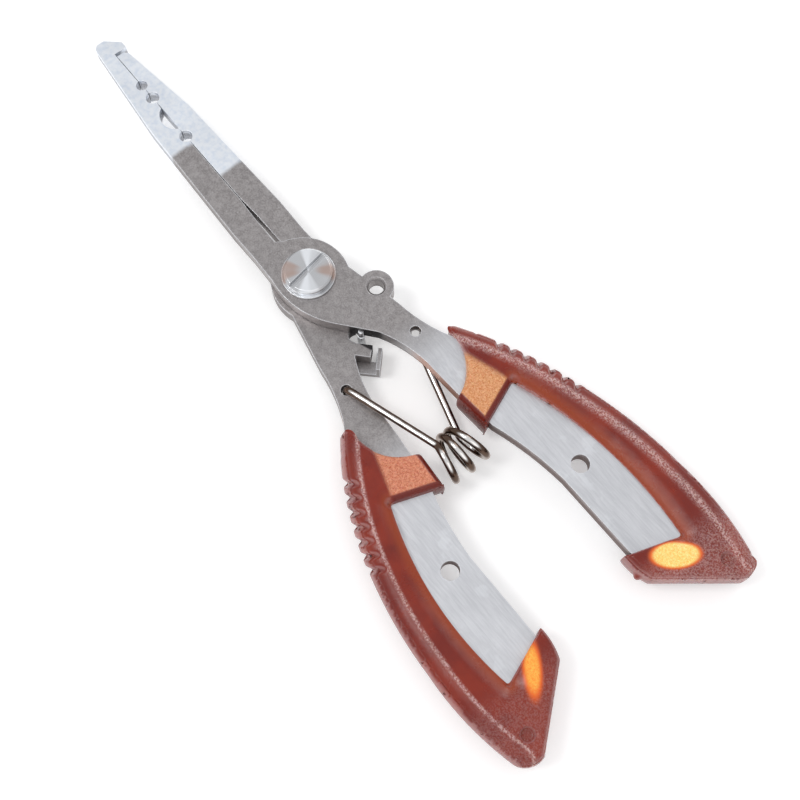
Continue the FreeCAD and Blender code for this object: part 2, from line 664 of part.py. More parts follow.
# --- grips moulded round the tangs
def grip(name, side, tang, shift):
    """Grip round one tang, its collar moved back by the given shift."""
    def at(x, y):
        return (-x, y if side > 0 else -y)

    ring = [
        (at(s["nose_x"] + shift, s["nose_y"]), s["grip_bulge"]),
        (at(s["grip_side_x"], s["grip_side_y"]), s["grip_bulge"]),
        (at(s["grip_back_x"], s["grip_back_y"]), s["grip_bulge"]),
        (at(s["cap_outer_x"], s["cap_outer_y"]), s["cap_bulge"]),
        (at(s["cap_end_x"], s["cap_end_y"]), None),
        (at(s["cap_heel_x"], s["cap_heel_y"]), s["cap_heel_bulge"]),
        (at(s["cap_lip_x"], s["cap_lip_y"]), None),
        (at(s["window_rear_x"], s["window_rear_y"]), -s["window_bulge"]),
        (at(s["collar_rear_x"] + shift, s["collar_rear_y"]), None),
        (at(s["lip_rear_x"] + shift, s["lip_rear_y"]), None),
        (at(s["lip_x"] + shift, s["lip_y"]), -s["collar_hollow"]),
        (at(s["nose_inner_x"] + shift, s["nose_inner_y"]), s["nose_round"]),
    ]
    corners = [corner for corner, _ in ring]
    bulges = {i: bow if side < 0 else -bow for i, (_, bow) in enumerate(ring)
              if bow is not None}
    plan = prism(name + "_plan", outline(name + "_outline", corners, bulges), tall)
    inset = s["rim_inset"]
    rear = -s["cap_end_x"] - s["stack_margin"]
    collar_end = -s["collar_end"] - shift
    step = collar_end - s["collar_ramp"]
    slab_ring = [
        (rear, inset), (step, inset), (collar_end, zero), (zero, zero),
        (zero, s["grip_rise"]), (collar_end, s["grip_rise"]),
        (step, s["grip_rise"] - inset), (rear, s["grip_rise"] - inset),
    ]
    slab = prism(name + "_slab", outline(name + "_side", slab_ring, {}, upright=True),
                 2 * s["grip_back_y"] + s["stack_margin"], both=True)
    body = common(name + "_body", [plan, slab])
    run_x = s["grip_side_x"] - s["nose_x"] - shift
    run_y = s["grip_side_y"] - s["nose_y"]
    run = (run_x * run_x + run_y * run_y).sqrt()
    ribs = []
    for i in range(RIB_COUNT):
        along = (s["rib_first"] + s["rib_step"] * i) / run
        out = s["rib_offset"] / run
        ribs.append(cylinder("%s_rib_%d" % (name, i), s["rib_radius"], tall,
                             out * run_y - along * run_x - s["nose_x"] - shift,
                             side * (s["nose_y"] + along * run_y + out * run_x)))
    dimple = cylinder(name + "_dimple", s["dimple_radius"], tall, -s["dimple_x"],
                      side * s["dimple_y"], s["grip_rise"] - inset - s["dimple_depth"])
    return cut(name, body, ribs + [dimple, tang])


left_grip = grip("left_grip", 1, lower_half, s["collar_shift"])
right_grip = grip("right_grip", -1, upper_half, -s["collar_shift"])

NODES = [upper_half, lower_half, pivot_screw, pivot_washer, pivot_nut, spring_left,
         spring_right, lock_lever, lock_rivet, lock_catch, left_grip, right_grip]

doc.recompute()
for item in doc.Objects:
    bad = [word for word in item.State if word in ("Invalid", "Error")]
    if bad:
        raise RuntimeError("%s is %s" % (item.Name, bad))
os.makedirs("parts", exist_ok=True)
for node in NODES:
    node.Label = node.Name
    if node.Shape.isNull() or not node.Shape.isValid():
        raise RuntimeError("%s has no valid shape" % node.Name)
    node.Shape.exportStep("parts/%s.step" % node.Label)
    print(node.Label, "solids", len(node.Shape.Solids), "volume %.1f" % node.Shape.Volume)
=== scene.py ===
"""Studio scene of flat fishing pliers: stamped steel halves, wire return spring, lock
lever and translucent moulded grips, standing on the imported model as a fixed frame."""
import logging
import math
from dataclasses import dataclass
from enum import Enum
from typing import Callable, Dict, List, Optional, Sequence, Tuple

import bmesh
import bpy
import numpy as np
from bmesh.types import BMesh
from bpy.types import ID, Material, Mesh, Node, NodeTree, Object
from bpy.types import NodeSocket as Socket
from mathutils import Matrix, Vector
from mathutils.bvhtree import BVHTree


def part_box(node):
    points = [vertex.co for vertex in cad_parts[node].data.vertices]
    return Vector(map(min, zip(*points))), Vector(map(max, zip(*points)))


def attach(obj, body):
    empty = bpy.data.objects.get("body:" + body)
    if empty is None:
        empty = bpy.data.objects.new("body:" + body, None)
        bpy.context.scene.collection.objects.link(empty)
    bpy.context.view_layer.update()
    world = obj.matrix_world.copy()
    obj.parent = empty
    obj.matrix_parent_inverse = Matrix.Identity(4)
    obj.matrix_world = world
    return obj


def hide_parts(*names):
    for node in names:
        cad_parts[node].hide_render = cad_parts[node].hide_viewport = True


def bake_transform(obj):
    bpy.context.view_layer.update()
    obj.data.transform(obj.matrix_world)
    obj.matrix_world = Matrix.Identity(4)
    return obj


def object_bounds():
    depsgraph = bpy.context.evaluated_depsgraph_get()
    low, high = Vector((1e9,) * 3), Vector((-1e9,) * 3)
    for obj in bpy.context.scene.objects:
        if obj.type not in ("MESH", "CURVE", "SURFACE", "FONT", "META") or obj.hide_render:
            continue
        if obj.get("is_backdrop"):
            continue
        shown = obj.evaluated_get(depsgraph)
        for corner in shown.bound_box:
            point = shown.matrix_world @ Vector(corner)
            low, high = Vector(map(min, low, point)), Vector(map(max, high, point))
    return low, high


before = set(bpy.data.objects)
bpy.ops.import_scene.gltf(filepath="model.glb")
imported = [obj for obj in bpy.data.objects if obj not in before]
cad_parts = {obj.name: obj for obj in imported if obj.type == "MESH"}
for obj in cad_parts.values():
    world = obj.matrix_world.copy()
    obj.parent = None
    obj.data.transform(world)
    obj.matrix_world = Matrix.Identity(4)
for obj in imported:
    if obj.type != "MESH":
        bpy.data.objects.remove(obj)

MM = 0.001
LOG = logging.getLogger("pliers")

MERGE = 0.002 * MM
PARTING = 5.0 * MM

Colour = Tuple[float, float, float]
Point = Tuple[float, float, float]
Plan = Tuple[float, float]
Array = np.ndarray
Sockets = Dict[str, Socket]


class Side(Enum):
    """Which handle a piece belongs to, as the sign of its Y."""

    LEFT = 1
    RIGHT = -1


class Lay(Enum):
    """Direction in which a steel surface was ground."""

    ALONG = (260.0, 2600.0, 2600.0)
    ACROSS = (2600.0, 260.0, 2600.0)


class Zone(Enum):
    """Areas of a grip that are kept as values on its mesh."""

    PLATE = "plate"
    FLANK = "flank"
    GLOW = "glow"
    RIM = "rim"
    CREST = "crest"


# --- node helpers
@dataclass
class Wiring:
    """Short hand for adding and joining shader nodes in one tree."""

    tree: NodeTree

    def add(self, kind: str, **values: object) -> Node:
        """Add a node and set its plain properties.

        Args:
            kind: Blender's node type name.
            values: property names and their values.

        Returns:
            The new node.
        """
        node = self.tree.nodes.new(kind)
        for name, value in values.items():
            setattr(node, name, value)
        return node

    def join(self, source: Socket, target: Socket) -> None:
        """Link one socket to another."""
        self.tree.links.new(source, target)

    def feed(self, value: object, target: Socket) -> None:
        """Link a socket, or set a constant on the target.

        Args:
            value: socket or constant.
            target: input that takes it.
        """
        if isinstance(value, Socket):
            self.join(value, target)
        else:
            target.default_value = value

    def math(self, operation: str, first: object, second: object = 0.0,
             clamp: bool = False) -> Socket:
        """One math node.

        Args:
            operation: name of the operation.
            first: socket or number.
            second: socket or number.
            clamp: keep the result between 0 and 1.

        Returns:
            The output socket.
        """
        node = self.add("ShaderNodeMath", operation=operation, use_clamp=clamp)
        self.feed(first, node.inputs[0])
        self.feed(second, node.inputs[1])
        return node.outputs[0]

    def spread(self, value: object, low: float, high: float, to_low: float = 0.0,
               to_high: float = 1.0) -> Socket:
        """Map a value from one range to another, clamped.

        Args:
            value: socket to map.
            low: start of the source range.
            high: end of the source range.
            to_low: result at the start.
            to_high: result at the end.

        Returns:
            The output socket.
        """
        node = self.add("ShaderNodeMapRange", interpolation_type="SMOOTHSTEP")
        self.feed(value, node.inputs["Value"])
        for name, number in (("From Min", low), ("From Max", high), ("To Min", to_low),
                             ("To Max", to_high)):
            node.inputs[name].default_value = number
        return node.outputs[0]

    def times(self, first: object, second: object) -> Socket:
        """Product of two values."""
        return self.math("MULTIPLY", first, second)

    def plus(self, first: object, second: object) -> Socket:
        """Sum of two values."""
        return self.math("ADD", first, second)

    def total(self, start: object, *parts: Tuple[Socket, float]) -> Socket:
        """Add weighted values to a first one.

        Args:
            start: socket or number to start from.
            parts: values and their weights.

        Returns:
            The sum.
        """
        for value, weight in parts:
            start = self.plus(start, self.times(value, weight))
        return start

    def space(self) -> Socket:
        """Object coordinates, which are metres in the row frame."""
        return self.add("ShaderNodeTexCoord").outputs["Object"]

    def split(self, vector: Socket) -> Sockets:
        """Take a vector apart.

        Args:
            vector: socket to split.

        Returns:
            Its X, Y and Z.
        """
        node = self.add("ShaderNodeSeparateXYZ")
        self.join(vector, node.inputs[0])
        return node.outputs

    def mix(self, amount: object, first: object, second: object) -> Socket:
        """Mix two colours.

        Args:
            amount: share of the second, from 0 to 1.
            first: socket or colour.
            second: socket or colour.

        Returns:
            The mixed colour.
        """
        node = self.add("ShaderNodeMix", data_type="RGBA")
        self.feed(amount, node.inputs[0])
        self.feed(_rgba(first), node.inputs[6])
        self.feed(_rgba(second), node.inputs[7])
        return node.outputs[2]

    def coat(self, colour: object, *layers: Tuple[object, object]) -> Socket:
        """Lay further colours over a first one.

        Args:
            colour: socket or colour to start from.
            layers: amount and colour of each coat, in order.

        Returns:
            The last colour.
        """
        for amount, cover in layers:
            colour = self.mix(amount, colour, cover)
        return colour

    def noise(self, coordinates: Socket, scale: float, detail: float = 3.0,
              roughness: float = 0.5) -> Socket:
        """Noise texture.

        Args:
            coordinates: where it is read.
            scale: waves per metre.
            detail: octaves.
            roughness: strength of the finer octaves.

        Returns:
            The noise value.
        """
        node = self.add("ShaderNodeTexNoise")
        self.join(coordinates, node.inputs["Vector"])
        node.inputs["Scale"].default_value = scale
        node.inputs["Detail"].default_value = detail
        node.inputs["Roughness"].default_value = roughness
        return node.outputs["Fac"]


def _rgba(value: object) -> object:
    """Give a plain colour its alpha and leave a socket as it is."""
    return (*value, 1.0) if isinstance(value, tuple) and len(value) == 3 else value


@dataclass(frozen=True)
class Port:
    """One named socket of an effect group."""

    name: str
    kind: str = "NodeSocketFloat"
    value: Optional[object] = None


def effect(name: str, takes: Sequence[Port], gives: Sequence[Port],
           body: Callable[[Wiring, Sockets], Sockets]) -> NodeTree:
    """Build a shader effect group once.

    Args:
        name: name of the group.
        takes: its inputs.
        gives: its outputs.
        body: function that wires the inside and returns a socket per output.

    Returns:
        The node group.
    """
    found = bpy.data.node_groups.get(name)
    if found:
        return found
    tree = bpy.data.node_groups.new(name, "ShaderNodeTree")
    for port in takes:
        socket = tree.interface.new_socket(port.name, in_out="INPUT", socket_type=port.kind)
        if port.value is not None:
            socket.default_value = port.value
    for port in gives:
        tree.interface.new_socket(port.name, in_out="OUTPUT", socket_type=port.kind)
    wiring = Wiring(tree)
    start = wiring.add("NodeGroupInput")
    end = wiring.add("NodeGroupOutput")
    results = body(wiring, {port.name: start.outputs[port.name] for port in takes})
    for port in gives:
        wiring.join(results[port.name], end.inputs[port.name])
    return tree


# --- effect groups
def edge_highlight() -> NodeTree:
    """Mask of painted highlight along edges, broken up by noise.

    Returns:
        Group with inputs Width and Break up and output Mask.
    """
    def body(wiring: Wiring, takes: Sockets) -> Sockets:
        """Wire the inside of the group."""
        bevel = wiring.add("ShaderNodeBevel", samples=6)
        wiring.join(takes["Width"], bevel.inputs["Radius"])
        normal = wiring.add("ShaderNodeNewGeometry").outputs["Normal"]
        dot = wiring.add("ShaderNodeVectorMath", operation="DOT_PRODUCT")
        wiring.join(bevel.outputs[0], dot.inputs[0])
        wiring.join(normal, dot.inputs[1])
        turned = wiring.math("SUBTRACT", 1.0, dot.outputs["Value"])
        edge = wiring.spread(turned, 0.004, 0.06)
        patchy = wiring.noise(wiring.space(), 900.0)
        kept = wiring.math("SUBTRACT", 1.0, wiring.times(patchy, takes["Break up"]))
        return {"Mask": wiring.math("MULTIPLY", edge, kept, clamp=True)}

    return effect("Edge wear", [Port("Width", value=0.4 * MM), Port("Break up", value=0.5)],
                  [Port("Mask")], body)


def ground_lines() -> NodeTree:
    """Fine grinding lines drawn out along one direction.

    Returns:
        Group with input Stretch and outputs Tone and Height.
    """
    def body(wiring: Wiring, takes: Sockets) -> Sockets:
        """Wire the inside of the group."""
        scaled = wiring.add("ShaderNodeVectorMath", operation="MULTIPLY")
        wiring.join(wiring.space(), scaled.inputs[0])
        wiring.join(takes["Stretch"], scaled.inputs[1])
        fine = wiring.noise(scaled.outputs[0], 1.0, 4.0, 0.6)
        broad = wiring.noise(scaled.outputs[0], 0.23, 2.0)
        tone = wiring.total(wiring.times(fine, 0.65), (broad, 0.35))
        return {"Tone": tone, "Height": fine}

    return effect("Ground lines", [Port("Stretch", "NodeSocketVector", (1.0, 1.0, 1.0))],
                  [Port("Tone"), Port("Height")], body)


def handling() -> NodeTree:
    """Smears, fine pits and specks left by handling.

    Returns:
        Group with input Amount and outputs Smear, Specks and Blotches.
    """
    def body(wiring: Wiring, takes: Sockets) -> Sockets:
        """Wire the inside of the group."""
        space = wiring.space()
        plans = {"Smear": (140.0, 4.0, 0.6, 0.38, 0.68),
                 "Specks": (2600.0, 2.0, 0.7, 0.62, 0.74),
                 "Blotches": (190.0, 3.0, 0.6, 0.60, 0.68)}
        return {name: wiring.times(wiring.spread(
            wiring.noise(space, scale, detail, roughness), low, high), takes["Amount"])
            for name, (scale, detail, roughness, low, high) in plans.items()}

    return effect("Handling marks", [Port("Amount", value=0.5)],
                  [Port("Smear"), Port("Specks"), Port("Blotches")], body)


def mottle() -> NodeTree:
    """Even, fine mottling of a tumbled or grained surface.

    Returns:
        Group with input Scale and outputs Tone and Height.
    """
    def body(wiring: Wiring, takes: Sockets) -> Sockets:
        """Wire the inside of the group."""
        scaled = wiring.add("ShaderNodeVectorMath", operation="SCALE")
        wiring.join(wiring.space(), scaled.inputs[0])
        wiring.join(takes["Scale"], scaled.inputs["Scale"])
        coarse = wiring.noise(scaled.outputs[0], 1.0, 5.0, 0.65)
        fine = wiring.noise(scaled.outputs[0], 4.0, 3.0, 0.7)
        tone = wiring.total(wiring.times(coarse, 0.5), (fine, 0.5))
        return {"Tone": wiring.spread(tone, 0.36, 0.64), "Height": fine}

    return effect("Mottling", [Port("Scale", value=800.0)], [Port("Tone"), Port("Height")],
                  body)


def cut_side() -> NodeTree:
    """Tells the upright sides of a piece from its faces.

    Returns:
        Group with outputs Side (1 on upright walls), Torn (1 on the lower, torn part of a
        punched wall) and Seam (1 on the parting line of a moulded wall).
    """
    def body(wiring: Wiring, takes: Sockets) -> Sockets:
        """Wire the inside of the group."""
        normal = wiring.split(wiring.add("ShaderNodeNewGeometry").outputs["Normal"])
        side = wiring.spread(wiring.math("ABSOLUTE", normal["Z"]), 0.85, 0.35)
        space = wiring.space()
        height = wiring.split(space)["Z"]
        level = wiring.total(height, (wiring.noise(space, 420.0), 1.2 * MM))
        torn = wiring.spread(level, 6.6 * MM, 5.8 * MM)
        above = wiring.math("ABSOLUTE", wiring.math("SUBTRACT", height, PARTING))
        seam = wiring.times(side, wiring.spread(above, 0.24 * MM, 0.1 * MM))
        return {"Side": side, "Torn": wiring.times(side, torn), "Seam": seam}

    return effect("Punched side", [], [Port("Side"), Port("Torn"), Port("Seam")], body)


# --- finishes
def _material(name: str) -> Tuple[Material, Wiring, Node]:
    """New node material with its Principled shader.

    Args:
        name: name of the material.

    Returns:
        The material, its wiring and the shader node.
    """
    material = bpy.data.materials.new(name)
    material.use_nodes = True
    wiring = Wiring(material.node_tree)
    shader = material.node_tree.nodes["Principled BSDF"]
    return material, wiring, shader


def _group(wiring: Wiring, tree: NodeTree, **values: object) -> Sockets:
    """Place an effect group.

    Args:
        wiring: tree to add to.
        tree: the group.
        values: its inputs; underscores in names stand for spaces.

    Returns:
        Its outputs by name.
    """
    node = wiring.add("ShaderNodeGroup", node_tree=tree)
    for name, value in values.items():
        wiring.feed(value, node.inputs[name.replace("_", " ")])
    return node.outputs


def _bump(wiring: Wiring, height: Socket, strength: float, distance: float,
          below: Optional[Socket] = None) -> Socket:
    """Bump node on a height.

    Args:
        wiring: tree to add to.
        height: height socket.
        strength: bump strength.
        distance: bump distance in metres.
        below: normal to build on.

    Returns:
        The normal socket.
    """
    node = wiring.add("ShaderNodeBump")
    node.inputs["Strength"].default_value = strength
    node.inputs["Distance"].default_value = distance
    wiring.join(height, node.inputs["Height"])
    if below is not None:
        wiring.join(below, node.inputs["Normal"])
    return node.outputs[0]


def _surface(wiring: Wiring, shader: Node, colour: Socket, rough: Socket,
             normal: Socket, metallic: float = 1.0) -> None:
    """Join a finish to its shader.

    Args:
        wiring: tree of the material.
        shader: its Principled shader.
        colour: base colour.
        rough: roughness.
        normal: normal.
        metallic: 1 for metal, 0 for plastic.
    """
    for name, socket in (("Base Color", colour), ("Roughness", rough), ("Normal", normal)):
        wiring.join(socket, shader.inputs[name])
    shader.inputs["Metallic"].default_value = metallic


@dataclass(frozen=True)
class PlateSteel:
    """Stamped stainless steel: dull and mottled, ground on the tangs, bright on the jaws."""

    name: str
    colour: Colour = (0.43, 0.405, 0.40)
    dark: Colour = (0.285, 0.265, 0.262)
    tang: Colour = (0.77, 0.775, 0.80)
    tang_dark: Colour = (0.62, 0.625, 0.65)
    # bright colour of specks and blotches, and of the painted edge highlight
    bright: Colour = (0.90, 0.92, 0.95)
    mirror: Colour = (0.90, 0.93, 0.97)
    pale: Colour = (0.76, 0.82, 0.91)
    # painted shade: near-black colour for the gap behind the pivot
    painted_shade: Colour = (0.045, 0.042, 0.045)
    # painted reflection of the grips on the steel walls: warm near the pivot, brown and darker
    # towards the handles
    warm_wall_reflection: Colour = (0.50, 0.24, 0.15)
    brown_wall_reflection: Colour = (0.16, 0.10, 0.085)
    roughness: float = 0.40
    lay: Lay = Lay.ALONG
    wear: float = 0.55
    bright_from: float = 34.0 * MM
    tang_from: float = -17.0 * MM
    tang_ramp: float = 14.0 * MM
    # X ranges where the painted wall reflection fades in and where it turns brown
    warm_zone: Plan = (-23.0 * MM, -28.0 * MM)
    brown_zone: Plan = (-38.0 * MM, -44.0 * MM)
    # place, size, turn and strength of the painted shade patch behind the pivot
    painted_shade_place: Plan = (-16.6 * MM, -1.2 * MM)
    painted_shade_size: Plan = (4.6 * MM, 1.7 * MM)
    painted_shade_turn: float = 0.32
    painted_dark_amount: float = 1.0

    def _painted_shade(self, wiring: Wiring, place: Sockets) -> Socket:
        """Mask of painted shade behind the pivot, darkening the gap beside the upper plate.

        Args:
            wiring: tree to add to.
            place: X, Y and Z of the surface.

        Returns:
            The mask.
        """
        east, north = (wiring.math("SUBTRACT", place[axis], middle)
                       for axis, middle in zip("XY", self.painted_shade_place))
        long, wide = self.painted_shade_size
        along, across = math.cos(self.painted_shade_turn), math.sin(self.painted_shade_turn)
        first = wiring.total(wiring.times(east, along / long), (north, across / long))
        second = wiring.total(wiring.times(north, along / wide), (east, -across / wide))
        reach = wiring.plus(wiring.times(first, first), wiring.times(second, second))
        low = wiring.spread(place["Z"], 8.2 * MM, 8.0 * MM)
        painted_light = wiring.times(wiring.spread(reach, 1.15, 0.7), low)
        return wiring.times(painted_light, self.painted_dark_amount)

    def build(self) -> Material:
        """Make the material.

        Returns:
            Steel with its dull, ground and polished zones.
        """
        material, wiring, shader = _material(self.name)
        space = wiring.space()
        place = wiring.split(space)
        lines = _group(wiring, ground_lines(), Stretch=self.lay.value)
        marks = _group(wiring, handling(), Amount=self.wear)
        grain = _group(wiring, mottle(), Scale=850.0)
        # painted highlight along the plate edges
        edges = _group(wiring, edge_highlight(), Width=0.30 * MM, Break_up=0.55)
        walls = _group(wiring, cut_side())
        reach = wiring.total(place["X"], (wiring.noise(space, 260.0, 3.0), 1.6 * MM))
        jaw = wiring.spread(reach, self.bright_from, self.bright_from + 1.4 * MM)
        tang = wiring.spread(reach, self.tang_from, self.tang_from - self.tang_ramp)
        ground = wiring.spread(lines["Tone"], 0.3, 0.7)
        dull = wiring.mix(grain["Tone"], self.dark, self.colour)
        brushed = wiring.coat(self.tang_dark, (ground, self.tang),
                              (wiring.times(marks["Blotches"], 0.5), self.bright))
        polished = wiring.mix(wiring.spread(wiring.noise(space, 900.0, 4.0), 0.35, 0.75),
                              self.mirror, self.pale)
        # painted reflection of the grips on the upright walls behind the pivot
        painted_light = wiring.mix(wiring.spread(place["X"], *self.brown_zone), self.warm_wall_reflection,
                             self.brown_wall_reflection)
        behind = wiring.times(walls["Side"], wiring.spread(place["X"], *self.warm_zone))
        colour = wiring.coat(
            dull, (tang, brushed), (jaw, polished),
            (wiring.times(marks["Specks"], 0.35), self.bright),
            (wiring.times(walls["Torn"], 0.5), self.dark),
            # painted reflection on the walls behind the pivot, then painted highlight on the
            # edges
            (wiring.times(behind, 0.8), painted_light), (edges["Mask"], self.bright),
            # painted shade in the gap behind the pivot
            (self._painted_shade(wiring, place), self.painted_shade))
        rough = wiring.total(self.roughness, (marks["Smear"], 0.12), (ground, -0.05),
                             (walls["Torn"], 0.2))
        normal = _bump(wiring, grain["Height"], 0.2, 0.02 * MM)
        _surface(wiring, shader, colour, rough,
                 _bump(wiring, lines["Height"], 0.12, 0.02 * MM, normal))
        return material


@dataclass(frozen=True)
class TurnedSteel:
    """Lathe-turned steel: rings and a fan of light round its own axis."""

    name: str
    colour: Colour = (0.64, 0.645, 0.66)
    dark: Colour = (0.32, 0.32, 0.325)
    # bright colour of the painted fan highlight and the painted edge highlight
    bright: Colour = (0.92, 0.94, 0.97)
    # painted reflection: brown of the sectors opposite the bright fan
    brown_fan_reflection: Colour = (0.46, 0.27, 0.19)
    centre: Plan = (0.0, 0.0)
    pitch: float = 0.22 * MM
    roughness: float = 0.34
    fan_turn: float = 0.68

    def build(self) -> Material:
        """Make the material.

        Returns:
            Steel with rings and a fan of light.
        """
        material, wiring, shader = _material(self.name)
        place = wiring.split(wiring.space())
        east, north = (wiring.math("SUBTRACT", place[axis], middle)
                       for axis, middle in zip("XY", self.centre))
        radius = wiring.math("SQRT", wiring.plus(wiring.times(east, east),
                                                 wiring.times(north, north)))
        wave = wiring.math("SINE", wiring.times(radius, 2.0 * math.pi / self.pitch))
        rings = wiring.total(0.5, (wave, 0.5))
        # painted highlight: bright sectors of a fan round the axis
        bearing = wiring.math("ARCTAN2", north, east)
        fan = wiring.math("COSINE", wiring.times(wiring.plus(bearing, self.fan_turn), 2.0))
        fan = wiring.total(fan, (wiring.math("SINE", wiring.times(bearing, 9.0)), 0.12))
        marks = _group(wiring, handling(), Amount=0.5)
        # painted highlight along the turned edges
        edges = _group(wiring, edge_highlight(), Width=0.3 * MM, Break_up=0.3)
        # painted reflection: brown sectors opposite the bright fan, near the middle
        painted_dark_amount = wiring.times(wiring.spread(fan, -0.45, -1.0),
                             wiring.spread(radius, 0.8 * MM, 3.0 * MM))
        colour = wiring.coat(
            self.colour, (wiring.times(rings, 0.35), self.dark),
            (wiring.spread(fan, 0.45, 1.05), self.bright),
            (wiring.times(painted_dark_amount, 0.6), self.brown_fan_reflection), (edges["Mask"], self.bright))
        rough = wiring.total(self.roughness, (marks["Smear"], 0.12))
        _surface(wiring, shader, colour, rough, _bump(wiring, rings, 0.2, 0.015 * MM))
        return material


@dataclass(frozen=True)
class SpringWire:
    """Bright drawn wire with a painted dark reflection on its flanks and a paler painted rim.
    """

    name: str
    colour: Colour = (0.88, 0.86, 0.84)
    # painted reflection: dark flank band and paler rim, set by facing angle
    flank: Colour = (0.115, 0.075, 0.055)
    rim: Colour = (0.42, 0.34, 0.29)

    def build(self) -> Material:
        """Make the material.

        Returns:
            Wire steel with a painted dark reflection on its flanks.
        """
        material, wiring, shader = _material(self.name)
        marks = _group(wiring, handling(), Amount=0.8)
        facing = wiring.total(wiring.add("ShaderNodeLayerWeight").outputs["Facing"],
                              (wiring.noise(wiring.space(), 620.0, 2.0), 0.12))
        # painted reflections by facing angle: dark flanks, paler rim
        colour = wiring.coat(self.colour, (wiring.spread(facing, 0.11, 0.26), self.flank),
                             (wiring.spread(facing, 0.62, 0.85), self.rim))
        rough = wiring.total(0.12, (marks["Smear"], 0.14))
        _surface(wiring, shader, colour, rough,
                 _bump(wiring, marks["Specks"], 0.15, 0.01 * MM))
        return material


@dataclass(frozen=True)
class GripPlastic:
    """Translucent red-brown moulding that turns orange where it is thin over the steel."""

    name: str
    glow: Colour
    glow_dark: Colour
    plate: Colour
    plate_dark: Colour
    deep: Colour = (0.17, 0.008, 0.001)
    body: Colour = (0.245, 0.017, 0.002)
    flank: Colour = (0.31, 0.038, 0.002)
    rim: Colour = (0.17, 0.014, 0.006)
    halo: Colour = (0.80, 0.13, 0.012)
    # painted sheen: pale pink reflection on the upright walls
    sheen: Colour = (0.56, 0.29, 0.28)
    # painted highlight: pale sparkle on the rail crest and the cap
    painted_sparkle: Colour = (0.80, 0.58, 0.55)

    def build(self) -> Material:
        """Make the material.

        Returns:
            Plastic that reads the zones of its grip.
        """
        material, wiring, shader = _material(self.name)
        space = wiring.space()
        zones = {zone: wiring.add("ShaderNodeAttribute", attribute_name=zone.value)
                 .outputs["Fac"] for zone in Zone}
        cloud = wiring.spread(wiring.noise(space, 160.0, 3.0, 0.55), 0.35, 0.7)
        grain = _group(wiring, mottle(), Scale=2400.0)
        walls = _group(wiring, cut_side())
        marks = _group(wiring, handling(), Amount=0.6)
        # painted highlight: noise-broken sparkle inside the crest zone
        sparkle_share = wiring.spread(wiring.noise(space, 3300.0, 3.0, 0.75), 0.42, 0.60, to_low=0.12)
        sparkle_share = wiring.times(sparkle_share, zones[Zone.CREST])
        speckle = wiring.mix(grain["Tone"], self.plate_dark, self.plate)
        glow = wiring.mix(grain["Tone"], self.glow_dark, self.glow)
        colour = wiring.coat(
            self.deep, (cloud, self.body), (zones[Zone.FLANK], self.flank),
            # painted sheen on the upright walls
            (wiring.times(walls["Side"], 0.5), self.sheen),
            (wiring.times(walls["Seam"], 0.7), self.rim),
            (wiring.times(sparkle_share, 0.68), self.painted_sparkle),
            (zones[Zone.PLATE], speckle), (zones[Zone.RIM], self.rim),
            (wiring.spread(zones[Zone.GLOW], 0.0, 0.5), self.halo),
            (wiring.spread(zones[Zone.GLOW], 0.35, 0.9), glow))
        rough = wiring.total(0.24, (marks["Smear"], 0.16))
        _surface(wiring, shader, colour, rough,
                 _bump(wiring, grain["Height"], 0.35, 0.06 * MM), metallic=0.0)
        shader.inputs["Subsurface Weight"].default_value = 0.2
        shader.inputs["Subsurface Radius"].default_value = (1.0, 0.25, 0.08)
        shader.inputs["Subsurface Scale"].default_value = 1.2 * MM
        shader.inputs["Specular IOR Level"].default_value = 0.5
        return material


# --- mesh helpers
def dress(thing: Object, material: Material) -> None:
    """Give every face of an object one material.

    Args:
        thing: object to dress.
        material: its material.
    """
    if not thing.material_slots:
        thing.data.materials.append(material)
    for slot in thing.material_slots:
        slot.material = material


def add_object(name: str, data: ID) -> Object:
    """Put data into the scene.

    Args:
        name: name of the new object.
        data: its mesh, curve, light or camera.

    Returns:
        The object.
    """
    thing = bpy.data.objects.new(name, data)
    bpy.context.scene.collection.objects.link(thing)
    return thing


def shade_smooth(mesh: Mesh) -> None:
    """Shade all faces of a mesh smooth."""
    for face in mesh.polygons:
        face.use_smooth = True


def evaluated_mesh(thing: Object) -> Mesh:
    """New mesh of an object as its modifiers or curve settings shape it."""
    graph = bpy.context.evaluated_depsgraph_get()
    return bpy.data.meshes.new_from_object(thing.evaluated_get(graph))


def soften(thing: Object, width: float) -> None:
    """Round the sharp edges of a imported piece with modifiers.

    Args:
        thing: object to treat.
        width: width of the rounding in metres.
    """
    weld = thing.modifiers.new("weld", "WELD")
    weld.merge_threshold = MERGE
    flat = thing.modifiers.new("flat", "DECIMATE")
    flat.decimate_type = "DISSOLVE"
    flat.angle_limit = math.radians(0.4)
    bevel = thing.modifiers.new("round", "BEVEL")
    bevel.width = width
    bevel.segments = 2
    bevel.limit_method = "ANGLE"
    bevel.angle_limit = math.radians(32.0)
    bevel.harden_normals = False
    thing.modifiers.new("shade", "WEIGHTED_NORMAL")
    shade_smooth(thing.data)


# --- pieces
def smooth_ramp(value: Array, low: float, high: float) -> Array:
    """Smooth step of an array from 0 at low to 1 at high."""
    share = np.clip((value - low) / (high - low), 0.0, 1.0)
    return share * share * (3.0 - 2.0 * share)


